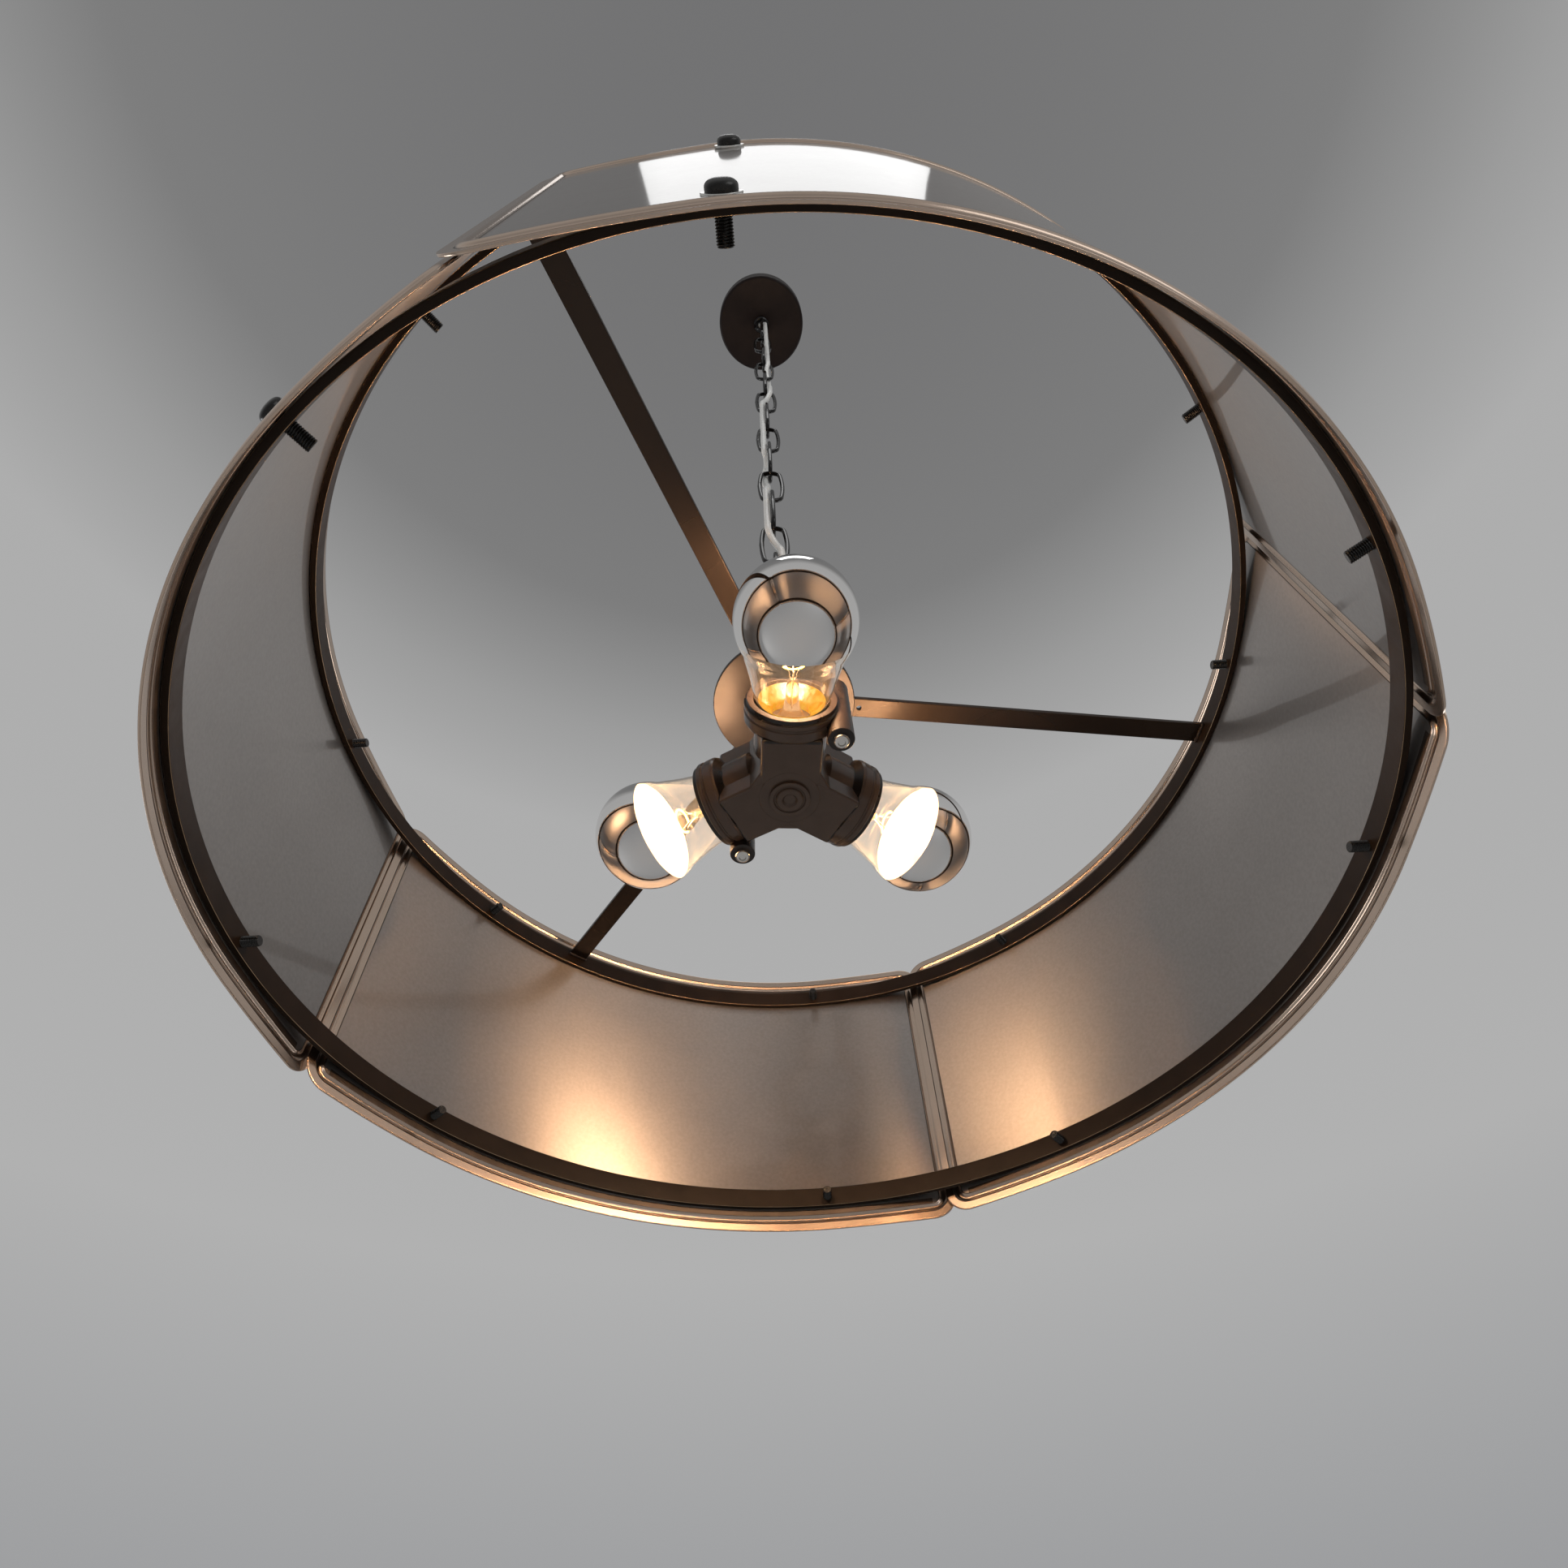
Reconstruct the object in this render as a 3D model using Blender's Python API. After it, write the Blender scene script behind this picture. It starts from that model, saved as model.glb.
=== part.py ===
# Chain-hung drum pendant: four curved sheet-metal panels on two flat-bar rings,
# three half-mirror bulbs in a moulded socket cluster, a long-link chain and a round canopy.
# Metres, +Z up. The origin is the centre of the ceiling mount; everything hangs below it.

import bpy
import bmesh
from math import cos, pi, radians, sin, tan
from mathutils import Matrix, Vector

# General clearances
GAP = 0.0003                    # between pieces that touch
RUNNING_GAP = 0.0005            # round a piece that turns or slides
HOLE_CLEARANCE = 0.0003         # radial, round a screw's shank
CUT_OVERRUN = 0.002             # how far a cutter runs past what it cuts
SHARP_EDGE_ANGLE = 35           # degrees; flatter edges than this are shaded smooth

# Pan heads: the flat top's share of the head's radius, and the straight side's share of its height
HEAD_TOP_SHARE = 0.7
HEAD_SIDE_SHARE = 0.55

# Ceiling bracket
BRACKET_WIDTH = 0.018
BRACKET_THICKNESS = 0.002
BRACKET_SLOT_SPACING = 0.0889   # between the two box screws
BOX_SCREW_RADIUS = 0.0021
BOX_SCREW_HEAD_RADIUS = 0.0040
BOX_SCREW_HEAD_HEIGHT = 0.0022
BOX_SCREW_LENGTH = 0.022
BRACKET_SLOT_LENGTH = 0.0075
BRACKET_SLOT_PLACE = BRACKET_SLOT_SPACING / 2
BRACKET_END = 0.0046            # from the middle of a slot to the strap's end
BRACKET_END_PLACE = BRACKET_SLOT_PLACE + BRACKET_END

# Threaded tubes and their nuts
NIPPLE_RADIUS = 0.0050
NIPPLE_BORE_RADIUS = 0.0038
NUT_ACROSS_CORNERS = 0.0190
NUT_HEIGHT = 0.0036

# Canopy
CANOPY_RADIUS = 0.0600
CANOPY_DEPTH = 0.0215
CANOPY_WALL = 0.0012
CANOPY_EDGE_RADIUS = 0.0035

# Loops at the canopy and at the hub
LOOP_BASE_RADIUS = 0.0108
LOOP_BASE_HEIGHT = 0.0050
LOOP_BORE_RADIUS = 0.0042
LOOP_LEG = 0.0165
LOOP_RADIUS = 0.0085            # centre line of the bend

# Chain
WIRE = 0.0040                   # diameter of the links and of the loops
LINK_LENGTH = 0.0760
LINK_WIDTH = 0.0214             # across the bends
LINK_BULGE = 0.0016             # how far each long side bows out past the bends
LINK_COUNT = 14
LINK_SIDE_SHARES = (0.4, -0.4)  # where a long side has its extra points, from its middle
BEARING_DEPTH = 0.0003          # how far the links between the end links are worn into each other

# Supply cord
CORD_DIAMETER = 0.0055
CORD_SIDE = WIRE / 2 + CORD_DIAMETER / 2 + 0.5 * RUNNING_GAP
CORD_EXPOSED = 0.012            # cord above the ceiling plane
# The side of the chain on which the cord passes each interlock, canopy first: right or left, front or back
CORD_SIDES = [(1, -1), (1, -1), (1, -1), (1, -1), (1, 1), (1, -1), (-1, -1), (-1, -1),
              (-1, -1), (-1, 1), (-1, -1), (-1, -1), (1, -1), (1, -1), (1, -1)]
CROSSING_SHARES = (0, 0.04, 0.33, 0.67, 0.96)   # how far it has crossed, at each step of one link
DRAW_IN_SHARES = (1, 1, 0.66, 0.66, 1)          # how far it draws in while it passes through a link
LEAVING_SHARE = 0.12            # how far it has gone to the side where it leaves a loop's base
BESIDE_SHARE = 0.9              # and halfway along the loop

# Hub
NECK_HEIGHT = 0.0473
NECK_RADIUS = 0.0090
DISC_RADIUS = 0.0430
DISC_THICKNESS = 0.0032
STEM_LENGTH = 0.0485
STEM_RADIUS = 0.0085

# Flat bar: the two rings and the three arms
BAR_WIDTH = 0.0127
BAR_THICKNESS = 0.0032
RING_INNER_RADIUS = 0.2667
RING_SPACING = 0.1742           # lower edge to lower edge
RING_BELOW_DISC = 0.0048
RING_SEGMENTS = 48
ARM_COUNT = 3
ARM_ANGLE = 5.0                 # degrees from +X to the first arm
ARM_INNER_RADIUS = 0.0160
ARM_HOLE_RADIUS = 0.0017        # drilled beside the disc's edge

# Shade panels
PANEL_COUNT = 4
SEAM_ANGLE = 67.5               # degrees from +X to the first seam
SHEET = 0.0010
PANEL_OVERHANG = 0.0150         # past each ring
CORNER_RADIUS = 0.0150
FLANGE = 0.0055                 # flat edge outside the bead
BEAD_WIDTH = 0.0048
BEAD_HEIGHT = 0.0012
SEAM_LAP = 0.0058
SEAM_CLEARANCE = 0.00055
UNDER_LIFT = 0.0046             # how far the lower of two lapped ends stands off the ring
CONTACT_STEPS = 4               # ring segments on each side where a panel lies on the ring
CORNER_STEPS = 3

# Panel screws, tapped into the rings
PANEL_SCREW_ANGLE = 28.2        # degrees from a panel's centre line
PANEL_SCREW_RADIUS = 0.0028
PANEL_SCREW_TIP = 0.0078        # past the ring's inner face
PANEL_SCREW_HEAD_RADIUS = 0.0050
PANEL_SCREW_HEAD_HEIGHT = 0.0034
WASHER_RADIUS = 0.0063
WASHER_THICKNESS = 0.0010

# Socket cluster
SOCKET_COUNT = 3
SOCKET_ANGLE = -88.5            # degrees from +X to the first socket
CLUSTER_HEIGHT = 0.0470
CLUSTER_RADIUS = 0.0180
BARREL_RADIUS = 0.0195
RIB_WIDTH = 0.0260              # flat rib above and below each barrel
COLLAR_RADIUS = 0.0250
COLLAR_START = 0.0350
BARREL_STEP = 0.0040
CLUSTER_EDGE = 0.0020
MOUTH = 0.0473                  # socket mouth, from the lamp's axis
RIM_LENGTH = 0.0026
RIM_STEP = 0.0012
THROAT_RADIUS = 0.0203
THROAT_START = 0.0380
SHELL_BORE_RADIUS = 0.0145
SHELL_BORE_END = 0.0300
SOCKET_BACK = 0.0120
SHELL_WALL = 0.0005
SHELL_LENGTH = 0.0200
WIRE_WELL_RADIUS = 0.0076
PLUG_FLANGE_RADIUS = 0.0110
PLUG_FLANGE_HEIGHT = 0.0014
PLUG_BOSS_HEIGHT = 0.0022
PLUG_DEPTH = 0.0080
EAR_ANGLE = -55.5               # degrees from +X; the other ear is opposite
EAR_PLACE = 0.0453
EAR_RADIUS = 0.0070
EAR_SCREW_RADIUS = 0.0020
EAR_SCREW_HEAD_RADIUS = 0.0042
EAR_SCREW_HEAD_HEIGHT = 0.0028

# Bulbs, measured along their own axis from the contact
BULB_RADIUS = 0.0312
BULB_LENGTH = 0.1090
BULB_GLASS = 0.0008
BULB_SCREW_RADIUS = 0.0131
BULB_SCREW_START = 0.0055
BULB_SCREW_END = 0.0270
BULB_SCREW_WALL = 0.0004
NECK_RADIUS_IN_SCREW = 0.0118
NECK_START = 0.0210
TIP_RADIUS = 0.0045
TIP_HEIGHT = 0.0014
INSULATOR_RADIUS = 0.0098
MOUNT_RADIUS = 0.0045
MOUNT_TOP = 0.0480
MOUNT_DISC = 0.0015             # thickness of the disc that closes the cap under the glass
THREAD_PITCH = 0.003629
BULB_SEGMENTS = 18
BULB_NECK_SHARE = 0.625         # the glass's radius at the socket's mouth, of the ball's
BULB_NECK_BOW_SHARE = 0.99      # how far its side bows in between the mouth and the ball
BULB_SHOULDER_ANGLE = -32       # degrees, seen from the ball's middle, where the ball starts
BULB_ARC_ANGLES = (-10, 15, 38, 60, 78)
SCREW_END_SHARE = 0.94          # the cap's narrow end, of its radius
MOUNT_TOP_SHARE = 0.6           # the stem's top, of its radius
TIP_SHARE = 0.6                 # the contact's flat, of its radius

# Places worked out from the sizes above, from the ceiling down
CANOPY_BOTTOM = -CANOPY_DEPTH
CANOPY_LOOP_BASE = CANOPY_BOTTOM - GAP - LOOP_BASE_HEIGHT
CANOPY_LOOP_WIRE = CANOPY_LOOP_BASE - LOOP_LEG - LOOP_RADIUS
LINK_WIRES = LINK_LENGTH - WIRE     # between the centres of a link's two end wires
HUNG_PITCH = LINK_WIRES - WIRE - GAP
JOINED_PITCH = LINK_WIRES - WIRE + BEARING_DEPTH
CHAIN_DROP = 3 * HUNG_PITCH + (LINK_COUNT - 3) * JOINED_PITCH
HUB_LOOP_WIRE = CANOPY_LOOP_WIRE - CHAIN_DROP + WIRE + GAP
HUB_LOOP_BASE = HUB_LOOP_WIRE - LOOP_RADIUS - LOOP_LEG
NECK_TOP = HUB_LOOP_BASE - LOOP_BASE_HEIGHT - GAP
DISC_TOP = NECK_TOP - NECK_HEIGHT - GAP
DISC_BOTTOM = DISC_TOP - DISC_THICKNESS
CLUSTER_TOP = DISC_BOTTOM - STEM_LENGTH
CLUSTER_BOTTOM = CLUSTER_TOP - CLUSTER_HEIGHT
SOCKET_AXIS = CLUSTER_TOP - CLUSTER_HEIGHT / 2
UPPER_RING = DISC_BOTTOM - RING_BELOW_DISC
LOWER_RING = UPPER_RING - RING_SPACING
RING_OUTER_RADIUS = RING_INNER_RADIUS + BAR_THICKNESS
PANEL_RADIUS = RING_OUTER_RADIUS + GAP + SHEET / 2
PANEL_HEIGHT = RING_SPACING + BAR_WIDTH + 2 * PANEL_OVERHANG
PANEL_MIDDLE = LOWER_RING - PANEL_OVERHANG + PANEL_HEIGHT / 2
PANEL_HALF_LENGTH = PANEL_RADIUS * pi / PANEL_COUNT + SEAM_LAP / 2
RING_STEP = 2 * pi / RING_SEGMENTS
BULB_SEAT = SOCKET_BACK + GAP


def interlock(number):
    """Height of the wire by which link `number` holds the next one; 0 is the canopy's loop."""
    hung = min(number, 2) + (number > LINK_COUNT - 1)
    return CANOPY_LOOP_WIRE - hung * HUNG_PITCH - (number - hung) * JOINED_PITCH


def material(name, colour, roughness, metallic, transmission=0.0):
    """One Principled finish."""
    made = bpy.data.materials.new(name)
    made.use_nodes = True
    shader = made.node_tree.nodes["Principled BSDF"]
    shader.inputs["Base Color"].default_value = (*colour, 1.0)
    shader.inputs["Roughness"].default_value = roughness
    shader.inputs["Metallic"].default_value = metallic
    shader.inputs["Transmission Weight"].default_value = transmission
    made.diffuse_color = (*colour, 1.0)
    return made


def clear_scene():
    """Remove what the scene holds."""
    for item in list(bpy.data.objects):
        bpy.data.objects.remove(item)


def pivot(name, place):
    """An empty on a joint's axis; the pieces of one moving body hang on it."""
    empty = bpy.data.objects.new(name, None)
    empty.location = place
    bpy.context.collection.objects.link(empty)
    return empty


def finish_mesh(bm, name):
    """Turn a bmesh into a mesh with its faces pointing out and its round sides smooth."""
    bmesh.ops.recalc_face_normals(bm, faces=bm.faces)
    mesh = bpy.data.meshes.new(name)
    bm.to_mesh(mesh)
    bm.free()
    mesh.shade_smooth()
    mesh.set_sharp_from_angle(angle=radians(SHARP_EDGE_ANGLE))
    return mesh


def piece(name, mesh, finish, holder, place=None):
    """Make the object of one piece and hang it on its body's pivot."""
    made = bpy.data.objects.new(name, mesh)
    bpy.context.collection.objects.link(made)
    made.data.materials.append(finish)
    made.parent = holder
    place = Matrix.Identity(4) if place is None else place
    made.matrix_local = Matrix.Translation(-Vector(holder.location)) @ place
    return made


def hidden(name, mesh, place=None):
    """A cutter or a part of a union, which is not a piece."""
    made = bpy.data.objects.new(name, mesh)
    bpy.context.collection.objects.link(made)
    made.matrix_world = Matrix.Identity(4) if place is None else place
    made.hide_render = True
    made.display_type = "WIRE"
    return made


def combine(target, other, operation):
    """Cut another shape from a piece, or unite the two."""
    modifier = target.modifiers.new(operation.lower(), "BOOLEAN")
    modifier.operation = operation
    modifier.object = other
    modifier.solver = "EXACT"


def add_lathe(bm, profile, segments):
    """Turn a closed outline of (radius, height) points about Z."""
    rings = []
    for radius, height in profile:
        if radius == 0:
            rings.append([bm.verts.new((0, 0, height))])
            continue
        rings.append([bm.verts.new((radius * cos(2 * pi * k / segments),
                                    radius * sin(2 * pi * k / segments), height))
                      for k in range(segments)])
    for here, there in zip(rings, rings[1:] + rings[:1]):
        if len(here) == 1 and len(there) == 1:
            continue
        for k in range(segments):
            after = (k + 1) % segments
            corners = [here[k % len(here)], here[after % len(here)],
                       there[after % len(there)], there[k % len(there)]]
            bm.faces.new(list(dict.fromkeys(corners)))


def lathe(name, profile, segments):
    """A mesh turned about Z."""
    bm = bmesh.new()
    add_lathe(bm, profile, segments)
    return finish_mesh(bm, name)


def tube_profile(inner, outer, low, high):
    """Outline of a plain tube or washer."""
    return [(inner, low), (outer, low), (outer, high), (inner, high)]


def rod_profile(radius, low, high):
    """Outline of a plain round rod."""
    return tube_profile(0, radius, low, high)


def add_sweep(bm, points, radius, sides, closed, across):
    """A round bar along points; `across` is any direction out of the path's plane."""
    rings = []
    count = len(points)
    for index, point in enumerate(points):
        before = points[index - 1] if closed or index > 0 else point
        after = points[(index + 1) % count] if closed or index < count - 1 else point
        along = (after - before).normalized()
        side = across.cross(along).normalized()
        up = along.cross(side)
        rings.append([bm.verts.new(point + radius * (cos(2 * pi * k / sides) * side
                                                     + sin(2 * pi * k / sides) * up))
                      for k in range(sides)])
    pairs = list(zip(rings, rings[1:]))
    if closed:
        pairs.append((rings[-1], rings[0]))
    for here, there in pairs:
        for k in range(sides):
            after = (k + 1) % sides
            bm.faces.new([here[k], here[after], there[after], there[k]])
    if not closed:
        bm.faces.new(rings[0])
        bm.faces.new(rings[-1])


def add_block(bm, low, high, turn=0.0):
    """A plain block between two corners, turned about Z."""
    made = bmesh.ops.create_cube(bm, size=1.0)["verts"]
    size = Vector(high) - Vector(low)
    middle = (Vector(high) + Vector(low)) / 2
    bmesh.ops.transform(bm, verts=made, matrix=Matrix.Rotation(turn, 4, "Z")
                        @ Matrix.Translation(middle) @ Matrix.Diagonal((*size, 1.0)))


def aimed(place, direction):
    """A frame at a place whose Z axis runs along a direction, with its Y axis level."""
    ahead = Vector(direction).normalized()
    level = Vector((0, 0, 1)).cross(ahead)
    side = level.normalized() if level.length > 0 else Vector((0, 1, 0))
    third = side.cross(ahead)
    turn = Matrix((third, side, ahead)).transposed().to_4x4()
    return Matrix.Translation(Vector(place)) @ turn


def heading(angle):
    """Level direction at an angle in radians from +X."""
    return Vector((cos(angle), sin(angle), 0))


def pan_head_profile(shank, length, head, height):
    """A pan-head screw: the shank points along +Z and the head lies below zero."""
    return [(0, -height), (head * HEAD_TOP_SHARE, -height), (head, -height * HEAD_SIDE_SHARE), (head, 0),
            (shank, 0), (shank, length), (0, length)]


def make_bracket(finish, holder):
    """Flat strap that is screwed to the ceiling box."""
    bm = bmesh.new()
    add_block(bm, (-BRACKET_END_PLACE, -BRACKET_WIDTH / 2, -BRACKET_THICKNESS),
              (BRACKET_END_PLACE, BRACKET_WIDTH / 2, 0))
    bracket = piece("ceiling_bracket", finish_mesh(bm, "ceiling_bracket"), finish, holder)
    bm = bmesh.new()
    cutter_low = -BRACKET_THICKNESS - CUT_OVERRUN
    radius = NIPPLE_RADIUS + GAP
    add_lathe(bm, rod_profile(radius, cutter_low, CUT_OVERRUN), 16)
    half_length = BRACKET_SLOT_LENGTH / 2
    half_width = BOX_SCREW_RADIUS + HOLE_CLEARANCE
    for side in (-1, 1):
        middle = side * BRACKET_SLOT_PLACE
        add_block(bm, (middle - half_length, -half_width, cutter_low),
                  (middle + half_length, half_width, CUT_OVERRUN))
    combine(bracket, hidden("bracket_holes", finish_mesh(bm, "bracket_holes")), "DIFFERENCE")


def make_box_screws(finish, holder):
    """Two screws up through the bracket's slots."""
    mesh = lathe("box_screw", pan_head_profile(BOX_SCREW_RADIUS, BOX_SCREW_LENGTH, BOX_SCREW_HEAD_RADIUS,
                                               BOX_SCREW_HEAD_HEIGHT), 10)
    for number, side in ((1, -1), (2, 1)):
        piece("box_screw_%d" % number, mesh, finish, holder,
              Matrix.Translation((side * BRACKET_SLOT_PLACE, 0, -BRACKET_THICKNESS - GAP)))


def make_canopy(finish, holder):
    """Shallow round pan with a rounded lower edge and a centre hole."""
    hole = NIPPLE_RADIUS + HOLE_CLEARANCE
    centre_radius = CANOPY_RADIUS - CANOPY_EDGE_RADIUS
    centre_height = CANOPY_BOTTOM + CANOPY_EDGE_RADIUS
    reach = CANOPY_EDGE_RADIUS - CANOPY_WALL
    steps = 3
    edge = []
    inner_edge = []
    for step in range(steps + 1):
        angle = step * pi / 2 / steps
        edge.append((centre_radius + CANOPY_EDGE_RADIUS * sin(angle),
                     centre_height - CANOPY_EDGE_RADIUS * cos(angle)))
        inner_edge.append((centre_radius + reach * sin(angle), centre_height - reach * cos(angle)))
    rim = -GAP
    profile = ([(hole, CANOPY_BOTTOM)] + edge + [(CANOPY_RADIUS, rim), (CANOPY_RADIUS - CANOPY_WALL, rim)]
               + inner_edge[::-1] + [(hole, CANOPY_BOTTOM + CANOPY_WALL)])
    piece("canopy", lathe("canopy", profile, 32), finish, holder)


def make_canopy_nipple(finish, holder):
    """Threaded tube through the bracket, the canopy and the loop's base."""
    top = CUT_OVERRUN
    bottom = CANOPY_LOOP_BASE + LOOP_BASE_HEIGHT / 2
    piece("canopy_nipple", lathe("canopy_nipple",
                                 tube_profile(NIPPLE_BORE_RADIUS, NIPPLE_RADIUS, bottom, top), 16),
          finish, holder)


def make_canopy_nut(finish, holder):
    """Nut on the canopy's inner face."""
    low = CANOPY_BOTTOM + CANOPY_WALL + GAP
    bore = (NIPPLE_RADIUS + GAP) / cos(pi / 6)
    nut = tube_profile(bore, NUT_ACROSS_CORNERS / 2, low, low + NUT_HEIGHT)
    piece("canopy_nut", lathe("canopy_nut", nut, 6), finish, holder)


def make_loop(name, finish, holder, base, way, turn):
    """Cast loop: a bored base with a bail of round bar. `way` is -1 for a bail that hangs down."""
    seat = NIPPLE_RADIUS + GAP
    back = -way * LOOP_BASE_HEIGHT
    seat_end = back / 2 + way * GAP
    profile = [(LOOP_BORE_RADIUS, 0), (LOOP_BASE_RADIUS, 0), (LOOP_BASE_RADIUS, back),
               (seat, back), (seat, seat_end), (LOOP_BORE_RADIUS, seat_end)]
    place = Matrix.Translation((0, 0, base)) @ Matrix.Rotation(turn, 4, "Z")
    loop = piece(name, lathe(name, profile, 16), finish, holder, place)
    bends = 8
    inset = way * LOOP_BASE_HEIGHT / 4
    points = [Vector((-LOOP_RADIUS, 0, -inset)), Vector((-LOOP_RADIUS, 0, way * LOOP_LEG))]
    for step in range(1, bends):
        angle = pi - step * pi / bends
        points.append(Vector((LOOP_RADIUS * cos(angle), 0, way * (LOOP_LEG + LOOP_RADIUS * sin(angle)))))
    points += [Vector((LOOP_RADIUS, 0, way * LOOP_LEG)), Vector((LOOP_RADIUS, 0, -inset))]
    bm = bmesh.new()
    add_sweep(bm, points, WIRE / 2, 8, False, Vector((0, 1, 0)))
    bail = hidden(name + "_bail", finish_mesh(bm, name + "_bail"), place)
    combine(loop, bail, "UNION")


def add_link(bm, middle, turn):
    """One long oval link of round wire, in a vertical plane turned about Z."""
    bend = (LINK_WIDTH - WIRE) / 2
    straight = (LINK_LENGTH - LINK_WIDTH) / 2
    steps = 4
    points = []
    for end in (1, -1):
        for step in range(steps + 1):
            angle = step * pi / steps
            points.append(Vector((end * bend * cos(angle), 0, end * (straight + bend * sin(angle)))))
        for share in LINK_SIDE_SHARES:
            points.append(Vector((-end * (bend + LINK_BULGE), 0, end * share * straight)))
    start = len(bm.verts)
    add_sweep(bm, points, WIRE / 2, 6, True, Vector((0, 1, 0)))
    bm.verts.ensure_lookup_table()
    bmesh.ops.transform(bm, verts=bm.verts[start:],
                        matrix=Matrix.Translation((0, 0, middle)) @ Matrix.Rotation(turn, 4, "Z"))


def link_turn(number):
    """Links alternate: the first stands front to back, the next from side to side."""
    return pi / 2 if number % 2 == 1 else 0.0


def link_mesh(name, number):
    """Mesh of one link, where it hangs."""
    bm = bmesh.new()
    add_link(bm, interlock(number) + LINK_WIRES / 2, link_turn(number))
    return finish_mesh(bm, name)


def make_links(finish, holders):
    """The end links hang free; the links between them are joined where they bear on each other."""
    piece("top_link", link_mesh("top_link", 1), finish, holders["top_link"])
    piece("bottom_link", link_mesh("bottom_link", LINK_COUNT), finish, holders["bottom_link"])
    chain = piece("chain", link_mesh("chain", 2), finish, holders["chain"])
    for number in range(3, LINK_COUNT):
        name = "link_%d" % number
        combine(chain, hidden(name, link_mesh(name, number)), "UNION")


def cord_route():
    """The cord's centre line along the chain, from the canopy's loop to the hub's loop."""
    points = []
    for number in range(LINK_COUNT):
        here, there = CORD_SIDES[number], CORD_SIDES[number + 1]
        crosses = here != there
        for step, (share, drawn) in enumerate(zip(CROSSING_SHARES, DRAW_IN_SHARES)):
            x, y = (here[k] + share * (there[k] - here[k]) for k in (0, 1))
            if crosses and here[0] == there[0]:
                x *= drawn
            if crosses and here[1] == there[1]:
                y *= drawn
            drop = interlock(number) - interlock(number + 1)
            height = interlock(number) - step * drop / len(CROSSING_SHARES)
            points.append(Vector((x * CORD_SIDE, y * CORD_SIDE, height)))
    last = CORD_SIDES[LINK_COUNT]
    points.append(Vector((last[0] * CORD_SIDE, last[1] * CORD_SIDE, interlock(LINK_COUNT))))
    return points


def make_cord_piece(name, finish, holder, points):
    """One stretch of the round supply cord."""
    curve = bpy.data.curves.new(name, "CURVE")
    curve.dimensions = "3D"
    curve.bevel_depth = CORD_DIAMETER / 2
    curve.bevel_resolution = 2
    curve.use_fill_caps = True
    spline = curve.splines.new("POLY")
    spline.points.add(len(points) - 1)
    for target, point in zip(spline.points, points):
        target.co = (*point, 1.0)
    made = bpy.data.objects.new(name, curve)
    bpy.context.collection.objects.link(made)
    made.data.materials.append(finish)
    made.parent = holder
    made.matrix_local = Matrix.Translation(-Vector(holder.location))


def make_cord(finish, holders):
    """The cord in three stretches: one bends at the canopy, one rides the chain, one bends at the hub."""
    route = cord_route()
    per_link = len(CROSSING_SHARES)
    aside = Vector((CORD_SIDE, -CORD_SIDE, 0))
    up = Vector((0, 0, 1))
    run_in = [CORD_EXPOSED * up, CANOPY_BOTTOM / 2 * up, (CANOPY_LOOP_BASE + LOOP_BASE_HEIGHT / 2) * up,
              LEAVING_SHARE * aside + CANOPY_LOOP_BASE * up,
              BESIDE_SHARE * aside + ((CANOPY_LOOP_BASE + CANOPY_LOOP_WIRE) / 2 - WIRE) * up,
              aside + (CANOPY_LOOP_WIRE + WIRE) * up]
    run_out = [aside + (HUB_LOOP_WIRE - WIRE) * up,
               BESIDE_SHARE * aside + ((HUB_LOOP_BASE + HUB_LOOP_WIRE) / 2 + WIRE) * up,
               LEAVING_SHARE * aside + HUB_LOOP_BASE * up,
               (HUB_LOOP_BASE - LOOP_BASE_HEIGHT / 2) * up, DISC_TOP * up,
               (CLUSTER_TOP - NUT_HEIGHT - CUT_OVERRUN) * up]
    first_cut = per_link + 1
    last_cut = (LINK_COUNT - 1) * per_link - 1
    step = GAP / 2 * up
    make_cord_piece("cord_at_canopy", finish, holders["top_link"],
                    run_in + route[1:first_cut] + [route[first_cut] + step])
    make_cord_piece("cord_in_chain", finish, holders["chain"],
                    [route[first_cut] - step] + route[first_cut + 1:last_cut] + [route[last_cut] + step])
    make_cord_piece("cord_at_hub", finish, holders["bottom_link"],
                    [route[last_cut] - step] + route[last_cut + 1:-1] + run_out)


def make_hub(finish, bright, holder):
    """Neck, disc, stem and threaded tube of the hub."""
    bore = NIPPLE_RADIUS + GAP
    piece("hub_neck", lathe("hub_neck",
                            tube_profile(bore, NECK_RADIUS, NECK_TOP - NECK_HEIGHT, NECK_TOP), 16),
          finish, holder)
    piece("hub_disc", lathe("hub_disc", tube_profile(bore, DISC_RADIUS, DISC_BOTTOM, DISC_TOP), 36),
          finish, holder)
    piece("hub_stem", lathe("hub_stem",
                            tube_profile(bore, STEM_RADIUS, CLUSTER_TOP + GAP, DISC_BOTTOM - GAP), 16),
          finish, holder)
    bottom = CLUSTER_TOP - NUT_HEIGHT - CUT_OVERRUN
    top = HUB_LOOP_BASE - LOOP_BASE_HEIGHT / 2
    piece("hub_nipple", lathe("hub_nipple", tube_profile(NIPPLE_BORE_RADIUS, NIPPLE_RADIUS, bottom, top), 16),
          bright, holder)


def arm_headings():
    """Angles of the arms, in radians."""
    return [radians(ARM_ANGLE) + 2 * pi * k / ARM_COUNT for k in range(ARM_COUNT)]


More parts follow.
